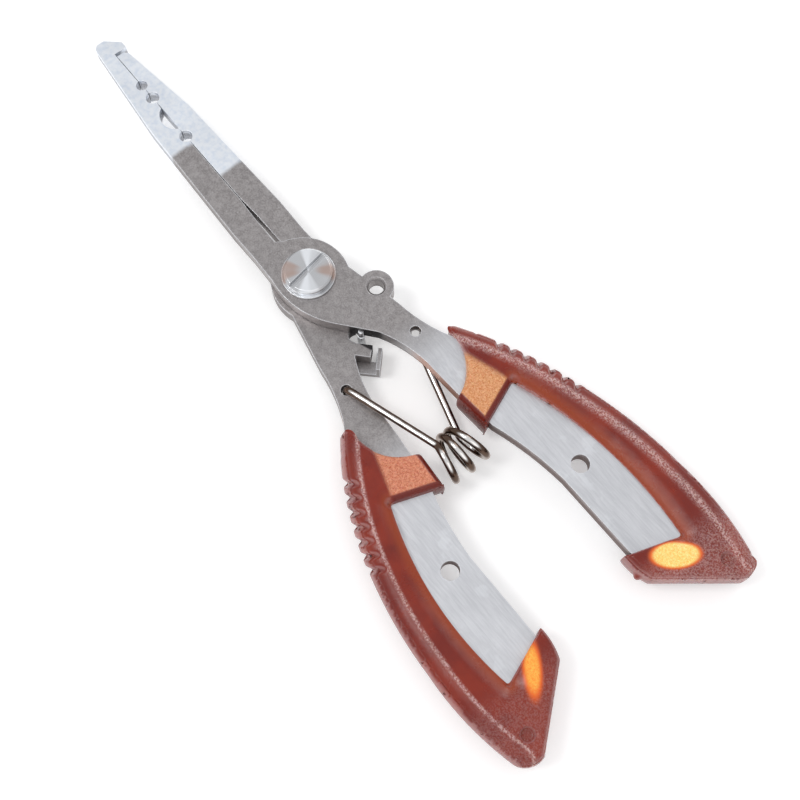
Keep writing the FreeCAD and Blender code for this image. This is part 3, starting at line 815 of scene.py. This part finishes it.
@dataclass
class Edge:
    """One run of a plan outline, with the solid on its left."""

    points: Array
    skin: float = 0.05 * MM
    margin: float = 0.6 * MM

    def nearest(self, places: Array) -> Tuple[Array, Array, Array]:
        """Nearest point of the run to each place.

        Args:
            places: N by 2 array of plan positions.

        Returns:
            Distance, unit direction away from the run, and length along the run.
        """
        best = np.full(len(places), 1.0e9)
        depth = np.zeros(len(places))
        away = np.zeros_like(places)
        along = np.zeros(len(places))
        walked = 0.0
        for start, end in zip(self.points[:-1], self.points[1:]):
            run = end - start
            length = float(np.hypot(*run))
            inward = np.array([-run[1], run[0]]) / length
            share = np.clip(((places - start) @ run) / length ** 2, 0.0, 1.0)
            offset = places - (start + share[:, None] * run)
            far = np.hypot(offset[:, 0], offset[:, 1])
            closer = far < best
            inside = ((offset @ inward) > self.skin) | (far > self.margin)
            heading = np.where(inside[:, None], offset / np.maximum(far, 1.0e-9)[:, None],
                               inward)
            best = np.where(closer, far, best)
            depth = np.where(closer, np.where(inside, far, 0.0), depth)
            away = np.where(closer[:, None], heading, away)
            along = np.where(closer, walked + share * length, along)
            walked += length
        return depth, away, along


def bow(start: Plan, end: Plan, rise: float,
        steps: int = 10) -> List[Plan]:
    """Shallow arc between two plan points.

    Args:
        start: first point.
        end: last point, which is left out of the result.
        rise: height of the arc; a positive one bows to the left.
        steps: number of points.

    Returns:
        Points along the arc.
    """
    first, last = np.array(start), np.array(end)
    run = last - first
    left = np.array([-run[1], run[0]]) / np.hypot(*run)
    return [tuple(first + run * share + left * rise * 4.0 * share * (1.0 - share))
            for share in (index / steps for index in range(steps))]


@dataclass(frozen=True)
class Glow:
    """Lit patch of a cap: middle and half sizes in millimetres, turn in radians, and the
    share of its reach over which it fades."""

    x: float
    y: float
    turn: float
    long: float
    wide: float
    soft: float

    def value(self, plan: Array) -> Array:
        """Strength of the patch.

        Args:
            plan: N by 2 array of plan positions in metres.

        Returns:
            1 in the middle, 0 outside.
        """
        aim = np.array([math.cos(self.turn), math.sin(self.turn)])
        offset = plan - np.array([self.x, self.y]) * MM
        across = offset[:, 1] * aim[0] - offset[:, 0] * aim[1]
        reach = np.hypot(offset @ aim / (self.long * MM), across / (self.wide * MM))
        return 1.0 - smooth_ramp(reach, 1.0 - self.soft, 1.0)


@dataclass
class GripMoulding:
    """One handle grip: a domed rail, a flat collar plate and an end cap in one moulding.

    Plan points are in millimetres and for a grip at +Y. The crest holds the distances from
    the outer edge at which its sheen starts, is full, starts to fade and ends. Each
    rounding holds a run, its width, its strength and whether the plate takes part.
    """

    side: Side
    node: str
    body: str
    shift: float
    glow: Glow
    crest: Tuple[float, float, float, float]
    # strength of the painted sparkle on the cap top
    cap_sparkle: float
    voxel: float = 0.26 * MM
    smooth_rounds: int = 3
    middle: float = PARTING
    collar_half: float = 5.0 * MM
    rail_half: float = 3.4 * MM
    plate_half: float = 3.8 * MM
    nose_half: float = 4.55 * MM
    collar_end: float = -46.6 * MM
    ramp: float = 4.5 * MM
    flank_drop: float = 1.0 * MM
    flank_width: float = 3.4 * MM
    flank_zone: Plan = (0.6 * MM, 2.6 * MM)
    rim_zone: Plan = (0.8 * MM, 1.3 * MM)
    top_zone: Plan = (6.0 * MM, 7.2 * MM)
    cap_zone: Plan = (80.0 * MM, 86.0 * MM)
    nose_zone: Plan = (-62.0 * MM, -44.0 * MM)
    plate_zone: Plan = (-50.5, -50.0)
    roundings: Tuple[Tuple[str, float, float, bool], ...] = (
        ("outer", 3.9 * MM, 0.95, False), ("end", 1.5 * MM, 0.85, True),
        ("window", 1.2 * MM, 0.5, False), ("cap_front", 0.6 * MM, 0.6, True),
        ("lip", 1.5 * MM, 0.85, True), ("front", 0.9 * MM, 0.7, True))
    groove_count: int = 7
    groove_first: float = 7.4 * MM
    groove_pitch: float = 2.8 * MM
    groove_depth: float = 0.8 * MM
    groove_wall: Plan = (1.2 * MM, 3.4 * MM)
    groove_slant: float = 0.38
    groove_sink: float = 0.35
    dimple_depth: float = 0.55 * MM
    gate: float = 0.0
    gate_reach: float = 0.8 * MM
    gate_place: Plan = (-82.2, 10.3)
    fill: float = 2.0 * MM
    fill_end: float = -52.0 * MM
    fill_proud: float = 0.1 * MM
    nose: Plan = (-26.8, 15.2)
    nose_inner: Plan = (-28.8, 13.2)
    flank: Plan = (-48.0, 25.6)
    back: Plan = (-72.0, 30.0)
    cap_outer: Plan = (-92.6, 28.3)
    cap_end: Plan = (-94.9, 23.4)
    heel: Plan = (-84.6, 10.7)
    cap_lip: Plan = (-78.2, 9.6)
    dimple: Plan = (-90.3, 23.5)
    dimple_reach: float = 1.5 * MM
    window_rear: Plan = (-82.0, 20.4)
    collar_rear: Plan = (-43.0, 16.2)
    lip_rear: Plan = (-46.7, 6.4)
    lip: Plan = (-38.9, 5.8)
    plate_front: Plan = (-31.6, 12.4)

    def _moved(self, point: Plan) -> Plan:
        """A collar point moved by the shift of this grip, in millimetres."""
        return point[0] - self.shift, point[1]

    def _edges(self) -> Dict[str, Edge]:
        """Runs of the outline.

        Returns:
            Each run by name, in metres and for a grip at +Y.
        """
        nose, rear = self._moved(self.nose), self._moved(self.collar_rear)
        runs = {
            "outer": bow(nose, self.flank, -0.9) + bow(self.flank, self.back, -0.9)
            + bow(self.back, self.cap_outer, -0.9) + [self.cap_outer],
            "end": bow(self.cap_outer, self.cap_end, -1.1)
            + bow(self.cap_end, self.heel, 0.0) + bow(self.heel, self.cap_lip, -0.4)
            + [self.cap_lip],
            "cap_front": [self.cap_lip, self.window_rear],
            "window": bow(self.window_rear, rear, 2.6) + [rear],
            "lip": [rear, self._moved(self.lip_rear), self._moved(self.lip)],
            "front": bow(self._moved(self.lip), self._moved(self.nose_inner), 2.2)
            + bow(self._moved(self.nose_inner), nose, -0.7) + [nose],
        }
        return {name: Edge(np.array(points) * MM) for name, points in runs.items()}

    def _plain_half(self, x: Array) -> Array:
        """Half height of the plain solid along X, before any moulding."""
        drop = np.clip((self.collar_end - self.shift * MM - x) / self.ramp, 0.0, 1.0)
        return self.collar_half + (self.rail_half - self.collar_half) * drop

    def _fill_wall(self, work: BMesh) -> None:
        """Add a strip that makes the outer wall plain before the grooves are pressed in.

        Args:
            work: mesh that takes the strip.
        """
        line = self._edges()["outer"].points[2:]
        line = line[line[:, 0] > self.fill_end]
        run = np.gradient(line, axis=0)
        inward = np.column_stack([-run[:, 1], run[:, 0]]) / np.hypot(*run.T)[:, None]
        line = line - inward * self.fill_proud
        rings = []
        for place, into in zip(line, inward):
            half = float(self._plain_half(place[0])) - 0.02 * MM
            rings.append([work.verts.new((*(plan * (1.0, self.side.value)), self.middle + z))
                          for plan, z in ((place, half), (place, -half),
                                          (place + into * self.fill, -half),
                                          (place + into * self.fill, half))])
        faces = [work.faces.new(rings[0]), work.faces.new(rings[-1][::-1])]
        for first, last in zip(rings[:-1], rings[1:]):
            for index in range(4):
                after = (index + 1) % 4
                faces.append(work.faces.new((first[index], last[index], last[after],
                                             first[after])))
        bmesh.ops.recalc_face_normals(work, faces=faces)

    def _blank(self) -> Object:
        """Copy the plain solid and turn it into an even mesh.

        Returns:
            The new object.
        """
        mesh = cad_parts[self.node].data.copy()
        work = bmesh.new()
        work.from_mesh(mesh)
        bmesh.ops.remove_doubles(work, verts=work.verts, dist=MERGE)
        self._fill_wall(work)
        work.to_mesh(mesh)
        work.free()
        mesh.materials.clear()
        blank = add_object(self.node + "_moulding", mesh)
        remesh = blank.modifiers.new("even", "REMESH")
        remesh.mode = "VOXEL"
        remesh.voxel_size = self.voxel
        smooth = blank.modifiers.new("soft", "SMOOTH")
        smooth.factor = 0.5
        smooth.iterations = self.smooth_rounds
        even = evaluated_mesh(blank)
        blank.modifiers.clear()
        blank.data = even
        return blank

    def _levels(self, mesh: Mesh, points: Array) -> Array:
        """Half height of the plain solid over each point.

        Args:
            mesh: the even mesh, before it is sculpted.
            points: its vertex places.

        Returns:
            Distance from the middle level to the top face.
        """
        work = bmesh.new()
        work.from_mesh(mesh)
        tree = BVHTree.FromBMesh(work)
        work.free()
        levels = self._plain_half(points[:, 0])
        away = np.hypot(points[:, 0] - self.dimple[0] * MM,
                        np.abs(points[:, 1]) - self.dimple[1] * MM)
        clear = 1.6 * self.dimple_reach
        for index, place in enumerate(points):
            hit = tree.ray_cast(Vector((place[0], place[1], 1.0)), Vector((0.0, 0.0, -1.0)))[0]
            if hit is not None and away[index] > clear:
                top = hit.z - self.middle
                levels[index] = top if top > 0.7 * levels[index] else levels[index]
        return levels

    def _plate(self, points: Array) -> Array:
        """Share of the flat collar plate.

        Args:
            points: vertex places.

        Returns:
            1 on the plate, 0 on the rail.
        """
        front = np.array(self._moved(self.plate_front)) * MM
        rear = np.array(self._moved(self.collar_rear)) * MM
        run = (rear - front) / np.hypot(*(rear - front))
        offset = points[:, :2] - front
        inner = run[1] * offset[:, 0] - run[0] * offset[:, 1]
        low, high = ((edge - self.shift) * MM for edge in self.plate_zone)
        return smooth_ramp(-inner, 0.1 * MM, 0.8 * MM) * smooth_ramp(points[:, 0], low, high)

    def _heights(self, points: Array, plate: Array, window: Edge) -> Array:
        """Moulded half height of ridge, plate and cap.

        Args:
            points: vertex places.
            plate: share of the plate at each.
            window: run along the open window.

        Returns:
            Distance from the middle level to the moulded top.
        """
        low, high = self.nose_zone
        rail = self.rail_half + (self.nose_half - self.rail_half) * smooth_ramp(
            points[:, 0], low, high - self.shift * MM)
        depth = window.nearest(points[:, :2])[0]
        slope = self.flank_drop * (1.0 - smooth_ramp(depth, 0.0, self.flank_width))
        return rail - slope * (1.0 - plate) + (self.plate_half - rail) * plate

    def _zones(self, points: Array, plate: Array,
               edges: Dict[str, Edge]) -> Dict[Zone, Array]:
        """Values of the coloured areas.

        Args:
            points: vertex places.
            plate: share of the plate at each.
            edges: runs of the outline.

        Returns:
            Values from 0 to 1 by area.
        """
        plan = points[:, :2]
        top = smooth_ramp(points[:, 2], *self.top_zone)
        inner = smooth_ramp(edges["lip"].nearest(plan)[0], *self.rim_zone)
        flank = 1.0 - smooth_ramp(edges["window"].nearest(plan)[0], *self.flank_zone)
        outer = edges["outer"].nearest(plan)[0]
        rise, top_from, top_to, fall = (value * MM for value in self.crest)
        crest = smooth_ramp(outer, rise, top_from) * (1.0 - smooth_ramp(outer, top_to, fall))
        # the cap top takes painted sparkle as well
        crest = np.maximum(crest, self.cap_sparkle * smooth_ramp(-plan[:, 0], *self.cap_zone))
        return {Zone.PLATE: plate * inner * top,
                Zone.RIM: plate * (1.0 - inner),
                Zone.FLANK: flank * (1.0 - plate),
                Zone.CREST: crest * (1.0 - plate) * top,
                Zone.GLOW: self.glow.value(plan) * top}

    def _round_over(self, points: Array, half: Array, edge: Edge, reach: float,
                    amount: Array) -> None:
        """Round the walls along one run into the faces beside it.

        Args:
            points: vertex places, which are moved.
            half: half height at each vertex.
            edge: run of the outline.
            reach: width of the rounding.
            amount: strength per vertex from 0 to 1.
        """
        distance, away, _ = edge.nearest(points[:, :2])
        across = np.clip((reach - distance) / reach, 0.0, 1.0)
        level = np.clip((points[:, 2] - self.middle) / half, -1.0, 1.0)
        new_across = across * np.sqrt(1.0 - level ** 2 / 2.0)
        new_level = level * np.sqrt(1.0 - across ** 2 / 2.0)
        points[:, :2] += away * ((across - new_across) * reach * amount)[:, None]
        points[:, 2] += (new_level - level) * half * amount

    def _grooves(self, points: Array, edge: Edge) -> None:
        """Press the slanted finger grooves into the outer wall.

        Args:
            points: vertex places, which are moved.
            edge: run along the outer wall.
        """
        distance, away, along = edge.nearest(points[:, :2])
        height = points[:, 2] - self.middle
        turn = (along - self.groove_first - self.groove_slant * height) / self.groove_pitch
        share = turn - np.floor(turn)
        dip = smooth_ramp(share, 0.05, 0.45) * (1.0 - smooth_ramp(share, 0.5, 0.75))
        inside = (turn > 0.0) & (turn < self.groove_count)
        wall = 1.0 - smooth_ramp(distance, *self.groove_wall)
        depth = dip * wall * inside * self.groove_depth
        points[:, :2] += away * depth[:, None]
        points[:, 2] -= np.sign(height) * depth * self.groove_sink

    def _press_dimple(self, points: Array) -> None:
        """Press the round dimple into the top of the cap."""
        away = np.hypot(*(points[:, :2] - np.array(self.dimple) * MM).T)
        points[:, 2] -= self.dimple_depth * (points[:, 2] > self.middle) * (
            1.0 - smooth_ramp(away, 0.7 * self.dimple_reach, self.dimple_reach))

    def _gate(self, points: Array, edge: Edge) -> None:
        """Leave the small nub of the moulding gate on the wall of the cap.

        Args:
            points: vertex places, which are moved.
            edge: run round the end of the cap.
        """
        distance, away, _ = edge.nearest(points[:, :2])
        offset = points - np.array([self.gate_place[0] * MM, self.gate_place[1] * MM,
                                    self.middle])
        near = np.exp(-(np.linalg.norm(offset, axis=1) / self.gate_reach) ** 4)
        points[:, :2] -= away * (near * self.gate * (distance < 0.6 * MM))[:, None]

    def _sculpt(self, thing: Object) -> None:
        """Give the even mesh its moulded form and its coloured areas.

        Args:
            thing: object with the even mesh.
        """
        vertices = thing.data.vertices
        points = np.zeros(len(vertices) * 3)
        vertices.foreach_get("co", points)
        points = points.reshape(-1, 3)
        levels = self._levels(thing.data, points)
        points[:, 1] *= self.side.value
        edges = self._edges()
        plate = self._plate(points)
        half = self._heights(points, plate, edges["window"])
        points[:, 2] = self.middle + (points[:, 2] - self.middle) * half / levels
        zones = self._zones(points, plate, edges)
        for name, reach, strength, on_plate in self.roundings:
            amount = strength * (np.ones(len(points)) if on_plate else 1.0 - plate)
            self._round_over(points, half, edges[name], reach, amount)
        self._grooves(points, edges["outer"])
        self._press_dimple(points)
        self._gate(points, edges["end"])
        points[:, 1] *= self.side.value
        low, high = (np.array(corner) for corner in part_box(self.node))
        vertices.foreach_set("co", np.clip(points, low, high).ravel())
        thing.data.update()
        for zone, values in zones.items():
            layer = thing.data.attributes.new(zone.value, "FLOAT", "POINT")
            layer.data.foreach_set("value", values.astype(np.float32))

    def make(self, finish: Material) -> Object:
        """Build, dress and place the grip.

        Args:
            finish: plastic of the moulding.

        Returns:
            The finished object.
        """
        thing = self._blank()
        self._sculpt(thing)
        shade_smooth(thing.data)
        dress(thing, finish)
        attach(thing, self.body)
        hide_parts(self.node)
        return thing


@dataclass
class ReturnSpring:
    """The bent wire: a leg in each arm and a coil that fans out behind its flex point."""

    wire: float = 0.75 * MM
    radius: float = 4.15 * MM
    axis_height: float = 5.0 * MM
    flex_x: float = -40.3 * MM
    front_spread: float = 2.36 * MM
    fan: float = 18.4
    full_turns: int = 2
    leg_start: float = 38.0
    steps: int = 30
    hole_x: float = 22.0 * MM
    hole_y: float = 8.4 * MM
    left_level: float = 5.85 * MM
    right_level: float = 4.2 * MM
    blend_reach: float = 7.0 * MM

    def _coil(self) -> List[Point]:
        """Centre line of the coil.

        Returns:
            Points from the upper end to the lower end.
        """
        first = -math.radians(self.leg_start)
        last = 2.0 * math.pi * self.full_turns + math.pi + math.radians(self.leg_start)
        count = int(self.steps * (last - first) / (2.0 * math.pi))
        places = []
        for index in range(count + 1):
            share = index / count
            angle = first + (last - first) * share
            yaw = math.radians(self.fan * (1.0 - 2.0 * share))
            front_y = self.front_spread * (1.0 - 2.0 * share)
            back = self.radius * (1.0 + math.sin(angle))
            places.append((self.flex_x - back * math.cos(yaw),
                           front_y + back * math.sin(yaw),
                           self.axis_height + self.radius * math.cos(angle)))
        return places

    def _leg(self, side: Side, level: float, tip: float, end: Point) -> List[Point]:
        """Centre line of one leg.

        Args:
            side: handle it belongs to.
            level: height of the leg where it leaves the arm.
            tip: height of its tip in the arm.
            end: first point of the coil.

        Returns:
            Points from the tip towards the coil.
        """
        hook = Vector((-self.hole_x, side.value * self.hole_y, level))
        run = Vector(end) - hook
        bend = 1.6 * self.wire
        rise = math.copysign(1.0, level - tip)
        return [
            (hook.x, hook.y, tip),
            (hook.x, hook.y, (tip + level) / 2.0),
            (hook.x, hook.y, level - rise * bend),
            tuple(hook + run.normalized() * 0.25 * bend - Vector((0, 0, rise * 0.3 * bend))),
            tuple(hook + run.normalized() * bend),
            tuple(hook + run * 0.35),
            tuple(hook + run * 0.65),
            tuple(hook + run * 0.9),
        ]

    def centre_line(self) -> List[Point]:
        """Whole centre line of the wire.

        Returns:
            Points from the left tip to the right tip.
        """
        coil = self._coil()
        low_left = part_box("lower_half")[0].z + 0.4 * MM
        top_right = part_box("upper_half")[1].z - 1.1 * MM
        left = self._leg(Side.LEFT, self.left_level, low_left, coil[0])
        right = self._leg(Side.RIGHT, self.right_level, top_right, coil[-1])
        return left + coil + right[::-1]

    def make(self) -> Object:
        """Build, dress and place the spring.

        Returns:
            The finished object.
        """
        curve = bpy.data.curves.new("return_spring_line", "CURVE")
        curve.dimensions = "3D"
        curve.bevel_depth = self.wire
        curve.bevel_resolution = 5
        curve.use_fill_caps = True
        spline = curve.splines.new("NURBS")
        places = self.centre_line()
        spline.points.add(len(places) - 1)
        for point, place in zip(spline.points, places):
            point.co = (*place, 1.0)
        spline.order_u = 3
        spline.use_endpoint_u = True
        spline.resolution_u = 4
        line = add_object("return_spring_line", curve)
        thing = add_object("return_spring", evaluated_mesh(line))
        bpy.data.objects.remove(line)
        shade_smooth(thing.data)
        dress(thing, SpringWire("spring wire").build())
        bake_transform(thing)
        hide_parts("spring_left", "spring_right")
        return thing


@dataclass
class SteelWork:
    """The stamped halves and the small steel pieces, kept as packed and dressed."""

    plate_round: float = 0.22 * MM
    small_round: float = 0.12 * MM

    def make(self) -> List[Object]:
        """Dress every steel piece.

        Returns:
            The dressed objects.
        """
        upper = PlateSteel("upper plate steel", bright_from=38.5 * MM).build()
        lower = PlateSteel("lower plate steel", bright_from=29.0 * MM,
                           tang_from=-31.0 * MM).build()
        # the lever gets no painted shade patch
        lever = PlateSteel("lever steel", lay=Lay.ACROSS, roughness=0.34, painted_dark_amount=0.0).build()
        screw = TurnedSteel("turned steel").build()
        rivet = lock_centre("lock_rivet")
        peg = lock_centre("lock_catch")
        plans = {
            "upper_half": (upper, self.plate_round),
            "lower_half": (lower, self.plate_round),
            "lock_lever": (lever, self.small_round),
            "pivot_screw": (screw, self.small_round),
            "pivot_washer": (screw, self.small_round),
            "pivot_nut": (screw, self.small_round),
            "lock_rivet": (TurnedSteel("rivet steel", centre=rivet).build(),
                           self.small_round),
            "lock_catch": (TurnedSteel("peg steel", centre=peg).build(), self.small_round),
        }
        done = []
        for node, (material, width) in plans.items():
            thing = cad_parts[node]
            dress(thing, material)
            soften(thing, width)
            done.append(thing)
        return done


def lock_centre(node: str) -> Plan:
    """Middle of a small round piece in plan."""
    low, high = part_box(node)
    return (low.x + high.x) / 2.0, (low.y + high.y) / 2.0


# --- studio
@dataclass(frozen=True)
class Lamp:
    """Square soft lamp: place and side in metres, power in watts."""

    name: str
    place: Point
    size: float
    power: float
    colour: Colour = (1.0, 1.0, 1.0)

    def hang(self, target: Point) -> None:
        """Put the lamp into the scene.

        Args:
            target: point it is aimed at.
        """
        data = bpy.data.lights.new(self.name, "AREA")
        data.size = self.size
        data.energy = self.power
        data.color = self.colour
        thing = add_object(self.name, data)
        thing.location = self.place
        aim = Vector(target) - Vector(self.place)
        thing.rotation_euler = aim.to_track_quat("-Z", "Y").to_euler()


@dataclass
class Studio:
    """Floor, backdrop light, lamps and camera."""

    reach: float = 3.0
    target: Point = (-29.9 * MM, 1.84 * MM, 5.0 * MM)
    azimuth: float = 140.72
    elevation: float = 71.03
    distance: float = 216.4 * MM
    focal_pixels: float = 1155.0
    frame_pixels: float = 800.0
    sensor: float = 36.0
    floor_colour: Colour = (0.86, 0.855, 0.85)
    lift: float = 0.31
    sky: float = 0.74
    sky_seen: float = 1.05
    lamps: Tuple[Lamp, ...] = (
        Lamp("key", (0.24, 0.42, 0.80), 0.30, 2.2),
        Lamp("fill", (-0.6, 0.2, 0.6), 0.6, 0.5, (1.0, 0.96, 0.92)),
        Lamp("rim", (0.22, -0.68, 0.52), 0.26, 1.0))

    def floor(self) -> None:
        """Lay the pale floor that reads as white and keeps the shadow."""
        mesh = bpy.data.meshes.new("floor")
        half = self.reach
        mesh.from_pydata([(-half, -half, 0), (half, -half, 0), (half, half, 0),
                          (-half, half, 0)], [], [(0, 1, 2, 3)])
        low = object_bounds()[0].z
        thing = add_object("floor", mesh)
        thing.location.z = low - 0.02 * MM
        material, wiring, shader = _material("floor")
        shader.inputs["Base Color"].default_value = (*self.floor_colour, 1.0)
        shader.inputs["Roughness"].default_value = 0.9
        shader.inputs["Specular IOR Level"].default_value = 0.1
        path = wiring.add("ShaderNodeLightPath").outputs
        seen = wiring.math("MAXIMUM", path["Is Camera Ray"], path["Is Glossy Ray"])
        seen = wiring.math("MAXIMUM", seen, path["Is Transmission Ray"])
        shader.inputs["Emission Color"].default_value = (1.0, 1.0, 1.0, 1.0)
        wiring.join(wiring.times(seen, self.lift), shader.inputs["Emission Strength"])
        dress(thing, material)
        thing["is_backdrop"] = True

    def world(self) -> None:
        """Set even pale surroundings."""
        world = bpy.data.worlds.new("studio")
        bpy.context.scene.world = world
        world.use_nodes = True
        back = world.node_tree.nodes["Background"]
        back.inputs["Color"].default_value = (0.97, 0.98, 1.0, 1.0)
        wiring = Wiring(world.node_tree)
        seen = wiring.add("ShaderNodeLightPath").outputs["Is Camera Ray"]
        wiring.join(wiring.spread(seen, 0.0, 1.0, self.sky, self.sky_seen),
                    back.inputs["Strength"])

    def camera(self) -> None:
        """Set the camera above the handles, looking down along the tool."""
        data = bpy.data.cameras.new("camera")
        data.sensor_width = self.sensor
        data.lens = self.sensor * self.focal_pixels / self.frame_pixels
        data.clip_start = 0.01
        thing = add_object("camera", data)
        azimuth, elevation = math.radians(self.azimuth), math.radians(self.elevation)
        away = Vector((math.cos(elevation) * math.cos(azimuth),
                       math.cos(elevation) * math.sin(azimuth), math.sin(elevation)))
        thing.location = Vector(self.target) + away * self.distance
        thing.rotation_euler = (-away).to_track_quat("-Z", "Y").to_euler()
        bpy.context.scene.camera = thing

    def make(self) -> None:
        """Set up the whole studio."""
        self.world()
        self.floor()
        self.camera()
        for lamp in self.lamps:
            lamp.hang(self.target)
        bpy.context.scene.view_settings.view_transform = "Standard"


def main() -> None:
    """Build the pieces in order."""
    logging.basicConfig(level=logging.INFO, format="%(message)s")
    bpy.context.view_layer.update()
    Studio().make()
    for thing in SteelWork().make():
        LOG.info("steel piece %s", thing.name)
    left = GripPlastic("left grip plastic", glow=(1.0, 0.56, 0.09), glow_dark=(1.0, 0.26, 0.02),
                       plate=(0.80, 0.36, 0.22), plate_dark=(0.44, 0.085, 0.03))
    right = GripPlastic("right grip plastic", glow=(1.0, 0.90, 0.36),
                        glow_dark=(1.0, 0.50, 0.06), plate=(0.84, 0.48, 0.25),
                        plate_dark=(0.54, 0.15, 0.03))
    for grip, plastic in (
            (GripMoulding(Side.LEFT, "left_grip", "lower", 1.9,
                          Glow(-82.6, 15.8, 2.52, 7.2, 2.3, 0.8), (2.3, 2.9, 3.1, 3.8), 0.2),
             left),
            (GripMoulding(Side.RIGHT, "right_grip", "upper", -1.9,
                          Glow(-83.9, 16.8, 2.17, 5.6, 3.0, 0.45), (1.6, 2.9, 3.2, 4.9), 0.45,
                          gate=0.8 * MM), right)):
        thing = grip.make(plastic.build())
        LOG.info("grip %s with %d faces", thing.name, len(thing.data.polygons))
    thing = ReturnSpring().make()
    LOG.info("spring %s with %d faces", thing.name, len(thing.data.polygons))


if __name__ == "__main__":
    main()
